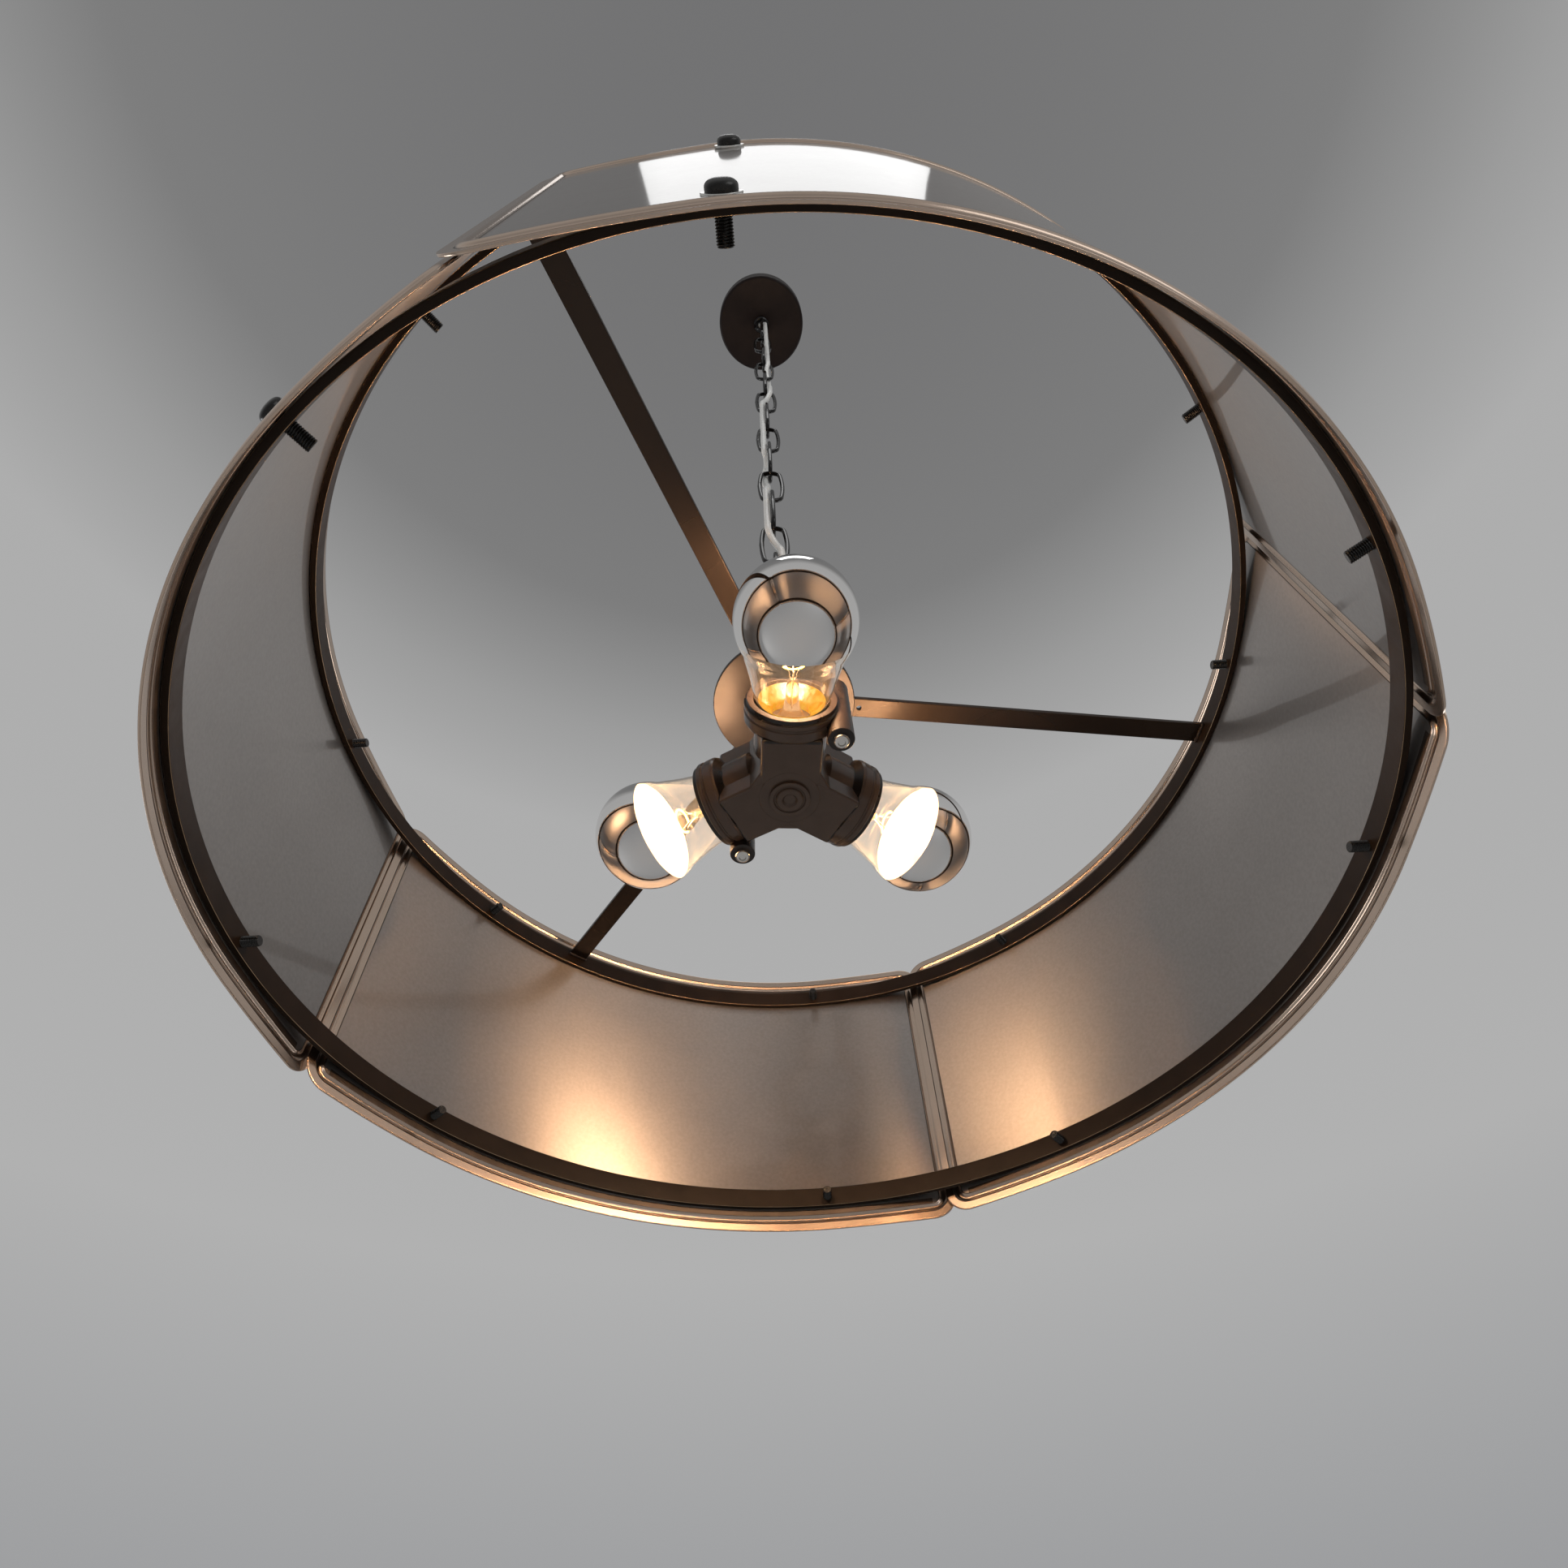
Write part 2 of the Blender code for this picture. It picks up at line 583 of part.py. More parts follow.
def make_arms(finish, holder):
    """Flat bars that lie on the disc and meet the upper ring's inner face."""
    off_centre = min((angle % RING_STEP for angle in arm_headings()), key=abs) - RING_STEP / 2
    end = (RING_INNER_RADIUS * cos(RING_STEP / 2) - GAP) / cos(off_centre)
    end -= BAR_WIDTH / 2 * abs(tan(off_centre))
    low = DISC_TOP + GAP
    for number, angle in enumerate(arm_headings(), 1):
        bm = bmesh.new()
        add_block(bm, (ARM_INNER_RADIUS, -BAR_WIDTH / 2, low), (end, BAR_WIDTH / 2, low + BAR_THICKNESS))
        name = "arm_%d" % number
        arm = piece(name, finish_mesh(bm, name), finish, holder, Matrix.Rotation(angle, 4, "Z"))
        hole = lathe(name + "_hole", rod_profile(ARM_HOLE_RADIUS, low - CUT_OVERRUN,
                                                 low + BAR_THICKNESS + CUT_OVERRUN), 10)
        place = (DISC_RADIUS + 2 * ARM_HOLE_RADIUS) * heading(angle)
        combine(arm, hidden(name + "_hole", hole, Matrix.Translation(place)), "DIFFERENCE")


def panel_headings():
    """Angles of the panels' centre lines, in radians."""
    return [radians(SEAM_ANGLE) + (2 * k + 1) * pi / PANEL_COUNT for k in range(PANEL_COUNT)]


def screw_frames(height):
    """Frames of the panel screws at one ring, on the ring's outer face, with Z pointing out."""
    frames = []
    for centre in panel_headings():
        for side in (-1, 1):
            angle = side * radians(PANEL_SCREW_ANGLE)
            facet = (int(abs(angle) / RING_STEP) + 0.5) * RING_STEP * side
            face_distance = RING_OUTER_RADIUS * cos(RING_STEP / 2)
            along = face_distance * tan(angle - facet)
            normal = heading(centre + facet)
            sideways = heading(centre + facet + pi / 2)
            place = face_distance * normal + along * sideways + Vector((0, 0, height + BAR_WIDTH / 2))
            frames.append(aimed(place, normal))
    return frames


def screw_hole_mesh(name, frames, inward, outward):
    """Cutter for the holes of a row of panel screws."""
    bm = bmesh.new()
    radius = PANEL_SCREW_RADIUS + HOLE_CLEARANCE
    for frame in frames:
        first = len(bm.verts)
        add_lathe(bm, rod_profile(radius, -inward, outward), 8)
        bm.verts.ensure_lookup_table()
        bmesh.ops.transform(bm, verts=bm.verts[first:], matrix=frame)
    return finish_mesh(bm, name)


def make_rings(finish, holder):
    """Two rings of flat bar on edge, with tapped holes for the panel screws."""
    for name, height in (("lower_ring", LOWER_RING), ("upper_ring", UPPER_RING)):
        bm = bmesh.new()
        add_lathe(bm, tube_profile(RING_INNER_RADIUS, RING_OUTER_RADIUS, height, height + BAR_WIDTH),
                  RING_SEGMENTS)
        ring = piece(name, finish_mesh(bm, name), finish, holder)
        holes = screw_hole_mesh(name + "_holes", screw_frames(height), BAR_THICKNESS + CUT_OVERRUN,
                                CUT_OVERRUN)
        combine(ring, hidden(name + "_holes", holes), "DIFFERENCE")


def panel_lift(angle):
    """How far the sheet stands off its contact radius at an angle from the panel's centre line."""
    free = CONTACT_STEPS * RING_STEP
    end = PANEL_HALF_LENGTH / PANEL_RADIUS
    if abs(angle) <= free:
        return 0.0
    share = (abs(angle) - free) / (end - free)
    meeting = (2 * pi / PANEL_COUNT - end - free) / (end - free)
    over_lift = (UNDER_LIFT + SHEET + SEAM_CLEARANCE) / meeting ** 2
    return (over_lift if angle < 0 else UNDER_LIFT) * share ** 2


def panel_point(along, up, offset):
    """A point of a panel: distance along it from its centre line, height, distance off the mid sheet."""
    angle = along / PANEL_RADIUS
    small = RING_STEP / 50
    here = (PANEL_RADIUS + panel_lift(angle)) * heading(angle)
    before = (PANEL_RADIUS + panel_lift(angle - small)) * heading(angle - small)
    after = (PANEL_RADIUS + panel_lift(angle + small)) * heading(angle + small)
    tangent = (after - before).normalized()
    normal = Vector((tangent.y, -tangent.x, 0))
    corner = 1 / cos(RING_STEP / 2)
    return here + offset * corner * normal + Vector((0, 0, up))


def panel_outline(inset):
    """Rounded rectangle of (along, up) points, on the columns that the ring's facets set."""
    corner_along = PANEL_HALF_LENGTH - CORNER_RADIUS
    corner_up = PANEL_HEIGHT / 2 - CORNER_RADIUS
    radius = CORNER_RADIUS - inset
    columns = [k * RING_STEP * PANEL_RADIUS for k in range(-RING_SEGMENTS, RING_SEGMENTS + 1)
               if abs(k * RING_STEP * PANEL_RADIUS) < corner_along - FLANGE]
    points = []
    for side, way in ((1, 1), (-1, -1)):
        points += [(side * column, -side * (corner_up + radius)) for column in columns]
        for start, row in ((-pi / 2, -1), (0, 1)):
            for step in range(CORNER_STEPS + 1):
                angle = start + step * pi / 2 / CORNER_STEPS
                points.append((side * (corner_along + radius * cos(angle)),
                               side * (row * corner_up + radius * sin(angle))))
    return points


def make_panels(finish, holder):
    """Four curved sheets with rounded corners and a raised bead along the border."""
    insets = (0, FLANGE, FLANGE + BEAD_WIDTH / 2, FLANGE + BEAD_WIDTH)
    raises = (0, 0, BEAD_HEIGHT, 0)
    outlines = [panel_outline(inset) for inset in insets]
    count = len(outlines[0])
    for number, centre in enumerate(panel_headings(), 1):
        bm = bmesh.new()
        layers = []
        for side in (-1, 1):
            layers.append([[bm.verts.new(panel_point(along, up, raised + side * SHEET / 2))
                            for along, up in outline] for outline, raised in zip(outlines, raises)])
        for layer in layers:
            for outer, inner in zip(layer, layer[1:]):
                for k in range(count):
                    after = (k + 1) % count
                    bm.faces.new([outer[k], outer[after], inner[after], inner[k]])
            middle = layer[-1]
            order = sorted(range(count), key=lambda k: (round(outlines[-1][k][0] / GAP), outlines[-1][k][1]))
            pairs = list(zip(order[::2], order[1::2]))
            for (low, high), (next_low, next_high) in zip(pairs, pairs[1:]):
                bm.faces.new([middle[low], middle[next_low], middle[next_high], middle[high]])
        for k in range(count):
            after = (k + 1) % count
            bm.faces.new([layers[0][0][k], layers[0][0][after], layers[1][0][after], layers[1][0][k]])
        name = "panel_%d" % number
        place = Matrix.Translation((0, 0, PANEL_MIDDLE)) @ Matrix.Rotation(centre, 4, "Z")
        panel = piece(name, finish_mesh(bm, name), finish, holder, place)
        frames = [frame for height in (LOWER_RING, UPPER_RING)
                  for frame in screw_frames(height)[2 * number - 2:2 * number]]
        holes = screw_hole_mesh(name + "_holes", frames, CUT_OVERRUN, SHEET + CUT_OVERRUN)
        combine(panel, hidden(name + "_holes", holes), "DIFFERENCE")


def make_panel_screws(finish, holder):
    """Eight screws at each ring, each with its captive washer."""
    washer_low = 2 * GAP + SHEET
    washer_high = washer_low + WASHER_THICKNESS
    tip = -BAR_THICKNESS - PANEL_SCREW_TIP
    head = PANEL_SCREW_HEAD_RADIUS
    profile = [(0, tip), (PANEL_SCREW_RADIUS, tip), (PANEL_SCREW_RADIUS, washer_low),
               (WASHER_RADIUS, washer_low), (WASHER_RADIUS, washer_high), (head, washer_high),
               (head, washer_high + PANEL_SCREW_HEAD_HEIGHT * HEAD_SIDE_SHARE),
               (head * HEAD_TOP_SHARE, washer_high + PANEL_SCREW_HEAD_HEIGHT),
               (0, washer_high + PANEL_SCREW_HEAD_HEIGHT)]
    mesh = lathe("panel_screw", profile, 8)
    for ring, height in (("lower", LOWER_RING), ("upper", UPPER_RING)):
        for number, frame in enumerate(screw_frames(height), 1):
            piece("panel_screw_%s_%d" % (ring, number), mesh, finish, holder, frame)


def socket_headings():
    """Angles of the sockets, in radians."""
    return [radians(SOCKET_ANGLE) + 2 * pi * k / SOCKET_COUNT for k in range(SOCKET_COUNT)]


def socket_frame(angle):
    """Frame of a socket, on the lamp's axis, with Z pointing out along the bulb."""
    return aimed((0, 0, SOCKET_AXIS), heading(angle))


def ear_places():
    """Centres of the two screw ears."""
    return [way * EAR_PLACE * heading(radians(EAR_ANGLE)) for way in (1, -1)]


def make_cluster_body(finish, holder):
    """Moulded body: a drum with three barrels on flat ribs, their collars and two screw ears."""
    body = piece("socket_cluster", lathe("socket_cluster", [
        (0, CLUSTER_BOTTOM), (CLUSTER_RADIUS - CLUSTER_EDGE, CLUSTER_BOTTOM),
        (CLUSTER_RADIUS, CLUSTER_BOTTOM + CLUSTER_EDGE), (CLUSTER_RADIUS, CLUSTER_TOP - CLUSTER_EDGE),
        (CLUSTER_RADIUS - CLUSTER_EDGE, CLUSTER_TOP), (0, CLUSTER_TOP)], 14),
        finish, holder)
    barrel = [(0, 0), (BARREL_RADIUS, 0), (BARREL_RADIUS, COLLAR_START - BARREL_STEP),
              (COLLAR_RADIUS, COLLAR_START), (COLLAR_RADIUS, MOUTH - RIM_LENGTH),
              (COLLAR_RADIUS - RIM_STEP, MOUTH - RIM_LENGTH), (COLLAR_RADIUS - RIM_STEP, MOUTH), (0, MOUTH)]
    for number, angle in enumerate(socket_headings(), 1):
        bm = bmesh.new()
        add_block(bm, (CLUSTER_EDGE, -RIB_WIDTH / 2, CLUSTER_BOTTOM + GAP),
                  (COLLAR_START + GAP, RIB_WIDTH / 2, CLUSTER_TOP - GAP), angle)
        combine(body, hidden("rib_%d" % number, finish_mesh(bm, "rib_%d" % number)), "UNION")
    for number, angle in enumerate(socket_headings(), 1):
        combine(body, hidden("barrel_%d" % number, lathe("barrel_%d" % number, barrel, 20),
                             socket_frame(angle)), "UNION")
    ear_low = SOCKET_AXIS - COLLAR_RADIUS
    ear_high = SOCKET_AXIS + COLLAR_RADIUS
    for number, place in enumerate(ear_places(), 1):
        ear = lathe("ear_%d" % number, rod_profile(EAR_RADIUS, ear_low, ear_high), 14)
        combine(body, hidden("ear_%d" % number, ear, Matrix.Translation(place)), "UNION")
    bore = [(0, SOCKET_BACK), (SHELL_BORE_RADIUS, SOCKET_BACK), (SHELL_BORE_RADIUS, SHELL_BORE_END),
            (THROAT_RADIUS, THROAT_START), (THROAT_RADIUS, MOUTH + CUT_OVERRUN),
            (0, MOUTH + CUT_OVERRUN)]
    for number, angle in enumerate(socket_headings(), 1):
        combine(body, hidden("socket_bore_%d" % number, lathe("socket_bore_%d" % number, bore, 18),
                             socket_frame(angle)), "DIFFERENCE")
    well = rod_profile(WIRE_WELL_RADIUS, CLUSTER_BOTTOM - CUT_OVERRUN, CLUSTER_TOP + CUT_OVERRUN)
    combine(body, hidden("wire_well", lathe("wire_well", well, 16)), "DIFFERENCE")
    radius = EAR_SCREW_RADIUS + HOLE_CLEARANCE
    for number, place in enumerate(ear_places(), 1):
        hole = lathe("ear_hole_%d" % number, rod_profile(radius, ear_low - CUT_OVERRUN,
                                                         ear_high + CUT_OVERRUN), 10)
        combine(body, hidden("ear_hole_%d" % number, hole, Matrix.Translation(place)), "DIFFERENCE")


def make_cluster_fittings(dark, bright, brass, holder):
    """Nut, plug, ear screws and screw shells of the socket cluster."""
    well = WIRE_WELL_RADIUS - GAP
    nut = tube_profile(NIPPLE_RADIUS + GAP, well, CLUSTER_TOP - NUT_HEIGHT, CLUSTER_TOP)
    piece("cluster_nut", lathe("cluster_nut", nut, 16), bright, holder)
    flange_top = CLUSTER_BOTTOM - GAP
    flange_low = flange_top - PLUG_FLANGE_HEIGHT
    plug = [(0, flange_top - PLUG_BOSS_HEIGHT), (well, flange_top - PLUG_BOSS_HEIGHT), (well, flange_low),
            (PLUG_FLANGE_RADIUS, flange_low), (PLUG_FLANGE_RADIUS, flange_top), (well, flange_top),
            (well, flange_top + PLUG_DEPTH), (0, flange_top + PLUG_DEPTH)]
    piece("cluster_plug", lathe("cluster_plug", plug, 20), dark, holder)
    ear_low = SOCKET_AXIS - COLLAR_RADIUS - GAP
    ear_screw = lathe("ear_screw", pan_head_profile(EAR_SCREW_RADIUS, 2 * COLLAR_RADIUS,
                                                    EAR_SCREW_HEAD_RADIUS, EAR_SCREW_HEAD_HEIGHT), 12)
    for number, place in enumerate(ear_places(), 1):
        piece("ear_screw_%d" % number, ear_screw, bright, holder,
              Matrix.Translation(place + Vector((0, 0, ear_low))))
    outer = SHELL_BORE_RADIUS - GAP
    shell = lathe("socket_shell", tube_profile(outer - SHELL_WALL, outer, SOCKET_BACK + GAP,
                                               SOCKET_BACK + SHELL_LENGTH), 18)
    for number, angle in enumerate(socket_headings(), 1):
        piece("socket_shell_%d" % number, shell, brass, holder, socket_frame(angle))


def bulb_outer_profile():
    """Glass outline from the neck to the crown, as (radius, distance from the contact)."""
    ball = BULB_LENGTH - BULB_RADIUS
    mouth_depth = MOUTH - BULB_SEAT
    shoulder_angle = radians(BULB_SHOULDER_ANGLE)
    shoulder = (BULB_RADIUS * cos(shoulder_angle), ball + BULB_RADIUS * sin(shoulder_angle))
    neck_radius = BULB_NECK_SHARE * BULB_RADIUS
    points = [(NECK_RADIUS_IN_SCREW, NECK_START), (NECK_RADIUS_IN_SCREW, BULB_SCREW_END + GAP),
              (neck_radius, mouth_depth),
              (BULB_NECK_BOW_SHARE * (neck_radius + shoulder[0]) / 2, (mouth_depth + shoulder[1]) / 2),
              shoulder]
    for degrees in BULB_ARC_ANGLES:
        angle = radians(degrees)
        points.append((BULB_RADIUS * cos(angle), ball + BULB_RADIUS * sin(angle)))
    return points + [(0, BULB_LENGTH)]


def make_bulb(number, angle, finishes, holders):
    """One bulb: glass, screw base with the stem that carries the filament, and the contact tip."""
    frame = socket_frame(angle) @ Matrix.Translation((0, 0, BULB_SEAT))
    name = "bulb_%d" % number
    outer = bulb_outer_profile()
    inner = [(max(0, radius - BULB_GLASS), min(along, BULB_LENGTH - BULB_GLASS)) for radius, along in outer]
    ball = BULB_LENGTH - BULB_RADIUS
    shrink = (BULB_RADIUS - BULB_GLASS) / BULB_RADIUS
    inner = inner[:4] + [(radius * shrink, ball + (along - ball) * shrink) for radius, along in outer[4:]]
    piece(name + "_glass", lathe(name + "_glass", outer + inner[::-1], BULB_SEGMENTS),
          finishes["glass"], holders[name], frame)
    wall = BULB_SCREW_RADIUS - BULB_SCREW_WALL
    floor = BULB_SCREW_START + BULB_SCREW_WALL
    tip_seat = INSULATOR_RADIUS + RUNNING_GAP
    seat = NECK_START - GAP
    base = [(tip_seat, BULB_SCREW_START), (BULB_SCREW_RADIUS * SCREW_END_SHARE, BULB_SCREW_START),
            (BULB_SCREW_RADIUS, BULB_SCREW_START + THREAD_PITCH / 2), (BULB_SCREW_RADIUS, BULB_SCREW_END),
            (wall, BULB_SCREW_END), (wall, seat), (NECK_RADIUS_IN_SCREW - BULB_GLASS - GAP, seat),
            (MOUNT_RADIUS, NECK_START + MOUNT_RADIUS), (MOUNT_RADIUS * MOUNT_TOP_SHARE, MOUNT_TOP),
            (0, MOUNT_TOP), (0, seat - MOUNT_DISC), (wall, seat - MOUNT_DISC),
            (wall, floor + THREAD_PITCH / 2), (tip_seat, floor)]
    piece(name + "_base", lathe(name + "_base", base, BULB_SEGMENTS), finishes["nickel"],
          holders[name], frame)
    tip = [(0, 0), (TIP_RADIUS * TIP_SHARE, 0), (TIP_RADIUS, TIP_HEIGHT),
           (INSULATOR_RADIUS, BULB_SCREW_START), (INSULATOR_RADIUS, floor), (0, floor)]
    piece(name + "_tip", lathe(name + "_tip", tip, BULB_SEGMENTS), finishes["brass"],
          holders[name + "_tip"], frame)


def main():
    """Build the whole pendant."""
    clear_scene()
    bronze = material("dark_bronze", (0.055, 0.042, 0.034), 0.38, 0.9)
    black = material("black_metal", (0.02, 0.019, 0.018), 0.35, 0.8)
    sheet = material("brushed_bronze_sheet", (0.46, 0.38, 0.32), 0.3, 1.0)
    bakelite = material("moulded_brown", (0.045, 0.028, 0.018), 0.22, 0.0)
    steel = material("zinc_steel", (0.62, 0.62, 0.60), 0.3, 1.0)
    brass = material("brass", (0.72, 0.53, 0.25), 0.3, 1.0)
    nickel = material("nickel", (0.7, 0.68, 0.64), 0.25, 1.0)
    glass = material("bulb_glass", (0.95, 0.93, 0.9), 0.03, 0.0, 0.6)
    cord = material("white_cord", (0.82, 0.82, 0.79), 0.4, 0.0)

    holders = {"mount": pivot("ceiling_mount", (0, 0, 0)),
               "top_link": pivot("canopy_loop_axis", (0, 0, interlock(0))),
               "chain": pivot("first_link_axis", (0, 0, interlock(1))),
               "bottom_link": pivot("last_link_axis", (0, 0, interlock(LINK_COUNT - 1))),
               "shade": pivot("hub_loop_axis", (0, 0, interlock(LINK_COUNT)))}
    for number, angle in enumerate(socket_headings(), 1):
        seat = BULB_SEAT * heading(angle) + Vector((0, 0, SOCKET_AXIS))
        holders["bulb_%d" % number] = pivot("bulb_%d_axis" % number, seat)
        holders["bulb_%d_tip" % number] = pivot("bulb_%d_tip_axis" % number, seat)

    mount = holders["mount"]
    make_bracket(steel, mount)
    make_box_screws(steel, mount)
    make_canopy(bronze, mount)
    make_canopy_nipple(steel, mount)
    make_canopy_nut(steel, mount)
    make_loop("canopy_loop", black, mount, CANOPY_LOOP_BASE, -1, 0.0)

    make_links(black, holders)
    make_cord(cord, holders)

    shade = holders["shade"]
    make_loop("hub_loop", black, shade, HUB_LOOP_BASE, 1, pi / 2)
    make_hub(bronze, steel, shade)
    make_arms(bronze, shade)
    make_rings(bronze, shade)
    make_panels(sheet, shade)
    make_panel_screws(black, shade)
    make_cluster_body(bakelite, shade)
    make_cluster_fittings(bakelite, steel, brass, shade)

    finishes = {"glass": glass, "nickel": nickel, "brass": brass}
    for number, angle in enumerate(socket_headings(), 1):
        make_bulb(number, angle, finishes, holders)


main()
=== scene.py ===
import random
from math import cos, pi, radians, sin, tan

import bmesh
import bpy
from mathutils import Matrix, Vector


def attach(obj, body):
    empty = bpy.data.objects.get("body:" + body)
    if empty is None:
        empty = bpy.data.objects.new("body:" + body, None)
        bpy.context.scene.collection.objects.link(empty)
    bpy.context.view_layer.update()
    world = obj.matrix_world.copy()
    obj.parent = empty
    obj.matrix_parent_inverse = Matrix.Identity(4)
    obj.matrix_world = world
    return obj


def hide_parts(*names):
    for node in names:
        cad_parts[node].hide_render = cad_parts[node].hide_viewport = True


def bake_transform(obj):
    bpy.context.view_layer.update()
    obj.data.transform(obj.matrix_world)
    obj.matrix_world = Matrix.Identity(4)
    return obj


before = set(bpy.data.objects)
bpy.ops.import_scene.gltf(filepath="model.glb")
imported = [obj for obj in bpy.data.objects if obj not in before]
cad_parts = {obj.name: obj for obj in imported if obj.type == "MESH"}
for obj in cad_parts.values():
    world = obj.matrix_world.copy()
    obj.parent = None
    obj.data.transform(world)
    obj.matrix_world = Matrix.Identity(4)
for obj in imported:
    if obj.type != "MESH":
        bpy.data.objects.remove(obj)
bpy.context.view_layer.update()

# Sizes, the same as in the CAD source
GAP = 0.0003
RUNNING_GAP = 0.0005
NIPPLE_RADIUS = 0.0050
NIPPLE_BORE_RADIUS = 0.0038
NUT_HEIGHT = 0.0036
CANOPY_RADIUS = 0.0600
CANOPY_DEPTH = 0.0215
CANOPY_WALL = 0.0012
CANOPY_EDGE_RADIUS = 0.0035
LOOP_BASE_RADIUS = 0.0108
LOOP_BASE_HEIGHT = 0.0050
LOOP_BORE_RADIUS = 0.0042
LOOP_LEG = 0.0165
LOOP_RADIUS = 0.0085
WIRE = 0.0040
LINK_LENGTH = 0.0760
LINK_WIDTH = 0.0214
LINK_BULGE = 0.0016
LINK_COUNT = 14
BEARING_DEPTH = 0.0003
CORD_DIAMETER = 0.0055
CORD_SIDE = WIRE / 2 + CORD_DIAMETER / 2 + 0.5 * RUNNING_GAP
CORD_EXPOSED = 0.012
NECK_HEIGHT = 0.0473
NECK_RADIUS = 0.0090
DISC_RADIUS = 0.0430
DISC_THICKNESS = 0.0032
STEM_LENGTH = 0.0485
STEM_RADIUS = 0.0085
BAR_WIDTH = 0.0127
BAR_THICKNESS = 0.0032
RING_INNER_RADIUS = 0.2667
RING_SPACING = 0.1742
RING_BELOW_DISC = 0.0048
RING_SEGMENTS = 48
RING_STEP = 2 * pi / RING_SEGMENTS
ARM_COUNT = 3
ARM_ANGLE = 5.0
ARM_INNER_RADIUS = 0.0160
ARM_HOLE_RADIUS = 0.0017
PANEL_COUNT = 4
SEAM_ANGLE = 67.5
SHEET = 0.0010
PANEL_OVERHANG = 0.0150
CORNER_RADIUS = 0.0150
FLANGE = 0.0055
BEAD_WIDTH = 0.0048
BEAD_HEIGHT = 0.0012
SEAM_LAP = 0.0058
SEAM_CLEARANCE = 0.00055
UNDER_LIFT = 0.0046
CONTACT_STEPS = 4
PANEL_SCREW_ANGLE = 28.2
PANEL_SCREW_RADIUS = 0.0028
PANEL_SCREW_TIP = 0.0078
PANEL_SCREW_HEAD_RADIUS = 0.0050
PANEL_SCREW_HEAD_HEIGHT = 0.0034
WASHER_RADIUS = 0.0063
WASHER_THICKNESS = 0.0010
SOCKET_COUNT = 3
SOCKET_ANGLE = -88.5
CLUSTER_HEIGHT = 0.0470
CLUSTER_RADIUS = 0.0180
BARREL_RADIUS = 0.0195
COLLAR_RADIUS = 0.0250
COLLAR_START = 0.0350
BARREL_STEP = 0.0040
CLUSTER_EDGE = 0.0020
MOUTH = 0.0473
RIM_LENGTH = 0.0026
RIM_STEP = 0.0012
THROAT_RADIUS = 0.0203
THROAT_START = 0.0380
SHELL_BORE_RADIUS = 0.0145
SHELL_BORE_END = 0.0300
SOCKET_BACK = 0.0120
SHELL_WALL = 0.0005
SHELL_LENGTH = 0.0200
WIRE_WELL_RADIUS = 0.0076
PLUG_FLANGE_RADIUS = 0.0110
PLUG_FLANGE_HEIGHT = 0.0014
PLUG_BOSS_HEIGHT = 0.0022
PLUG_DEPTH = 0.0080
EAR_ANGLE = -55.5
EAR_PLACE = 0.0453
EAR_RADIUS = 0.0070
EAR_SCREW_RADIUS = 0.0020
EAR_SCREW_HEAD_RADIUS = 0.0042
EAR_SCREW_HEAD_HEIGHT = 0.0028
BULB_RADIUS = 0.0312
BULB_LENGTH = 0.1090
BULB_GLASS = 0.0008
BULB_SCREW_RADIUS = 0.0131
BULB_SCREW_START = 0.0055
BULB_SCREW_END = 0.0270
BULB_SCREW_WALL = 0.0004
NECK_START = 0.0210
TIP_RADIUS = 0.0045
TIP_HEIGHT = 0.0014
INSULATOR_RADIUS = 0.0098
MOUNT_TOP = 0.0480
THREAD_PITCH = 0.003629
BULB_NECK_SHARE = 0.625
BULB_NECK_BOW_SHARE = 0.99
BULB_SHOULDER_ANGLE = -32

CANOPY_BOTTOM = -CANOPY_DEPTH
CANOPY_LOOP_BASE = CANOPY_BOTTOM - GAP - LOOP_BASE_HEIGHT
CANOPY_LOOP_WIRE = CANOPY_LOOP_BASE - LOOP_LEG - LOOP_RADIUS
LINK_WIRES = LINK_LENGTH - WIRE
HUNG_PITCH = LINK_WIRES - WIRE - GAP
JOINED_PITCH = LINK_WIRES - WIRE + BEARING_DEPTH
CHAIN_DROP = 3 * HUNG_PITCH + (LINK_COUNT - 3) * JOINED_PITCH
HUB_LOOP_WIRE = CANOPY_LOOP_WIRE - CHAIN_DROP + WIRE + GAP
HUB_LOOP_BASE = HUB_LOOP_WIRE - LOOP_RADIUS - LOOP_LEG
NECK_TOP = HUB_LOOP_BASE - LOOP_BASE_HEIGHT - GAP
DISC_TOP = NECK_TOP - NECK_HEIGHT - GAP
DISC_BOTTOM = DISC_TOP - DISC_THICKNESS
CLUSTER_TOP = DISC_BOTTOM - STEM_LENGTH
CLUSTER_BOTTOM = CLUSTER_TOP - CLUSTER_HEIGHT
SOCKET_AXIS = CLUSTER_TOP - CLUSTER_HEIGHT / 2
UPPER_RING = DISC_BOTTOM - RING_BELOW_DISC
LOWER_RING = UPPER_RING - RING_SPACING
RING_OUTER_RADIUS = RING_INNER_RADIUS + BAR_THICKNESS
PANEL_RADIUS = RING_OUTER_RADIUS + GAP + SHEET / 2
PANEL_HEIGHT = RING_SPACING + BAR_WIDTH + 2 * PANEL_OVERHANG
PANEL_MIDDLE = LOWER_RING - PANEL_OVERHANG + PANEL_HEIGHT / 2
PANEL_HALF_LENGTH = PANEL_RADIUS * pi / PANEL_COUNT + SEAM_LAP / 2
BULB_SEAT = SOCKET_BACK + GAP

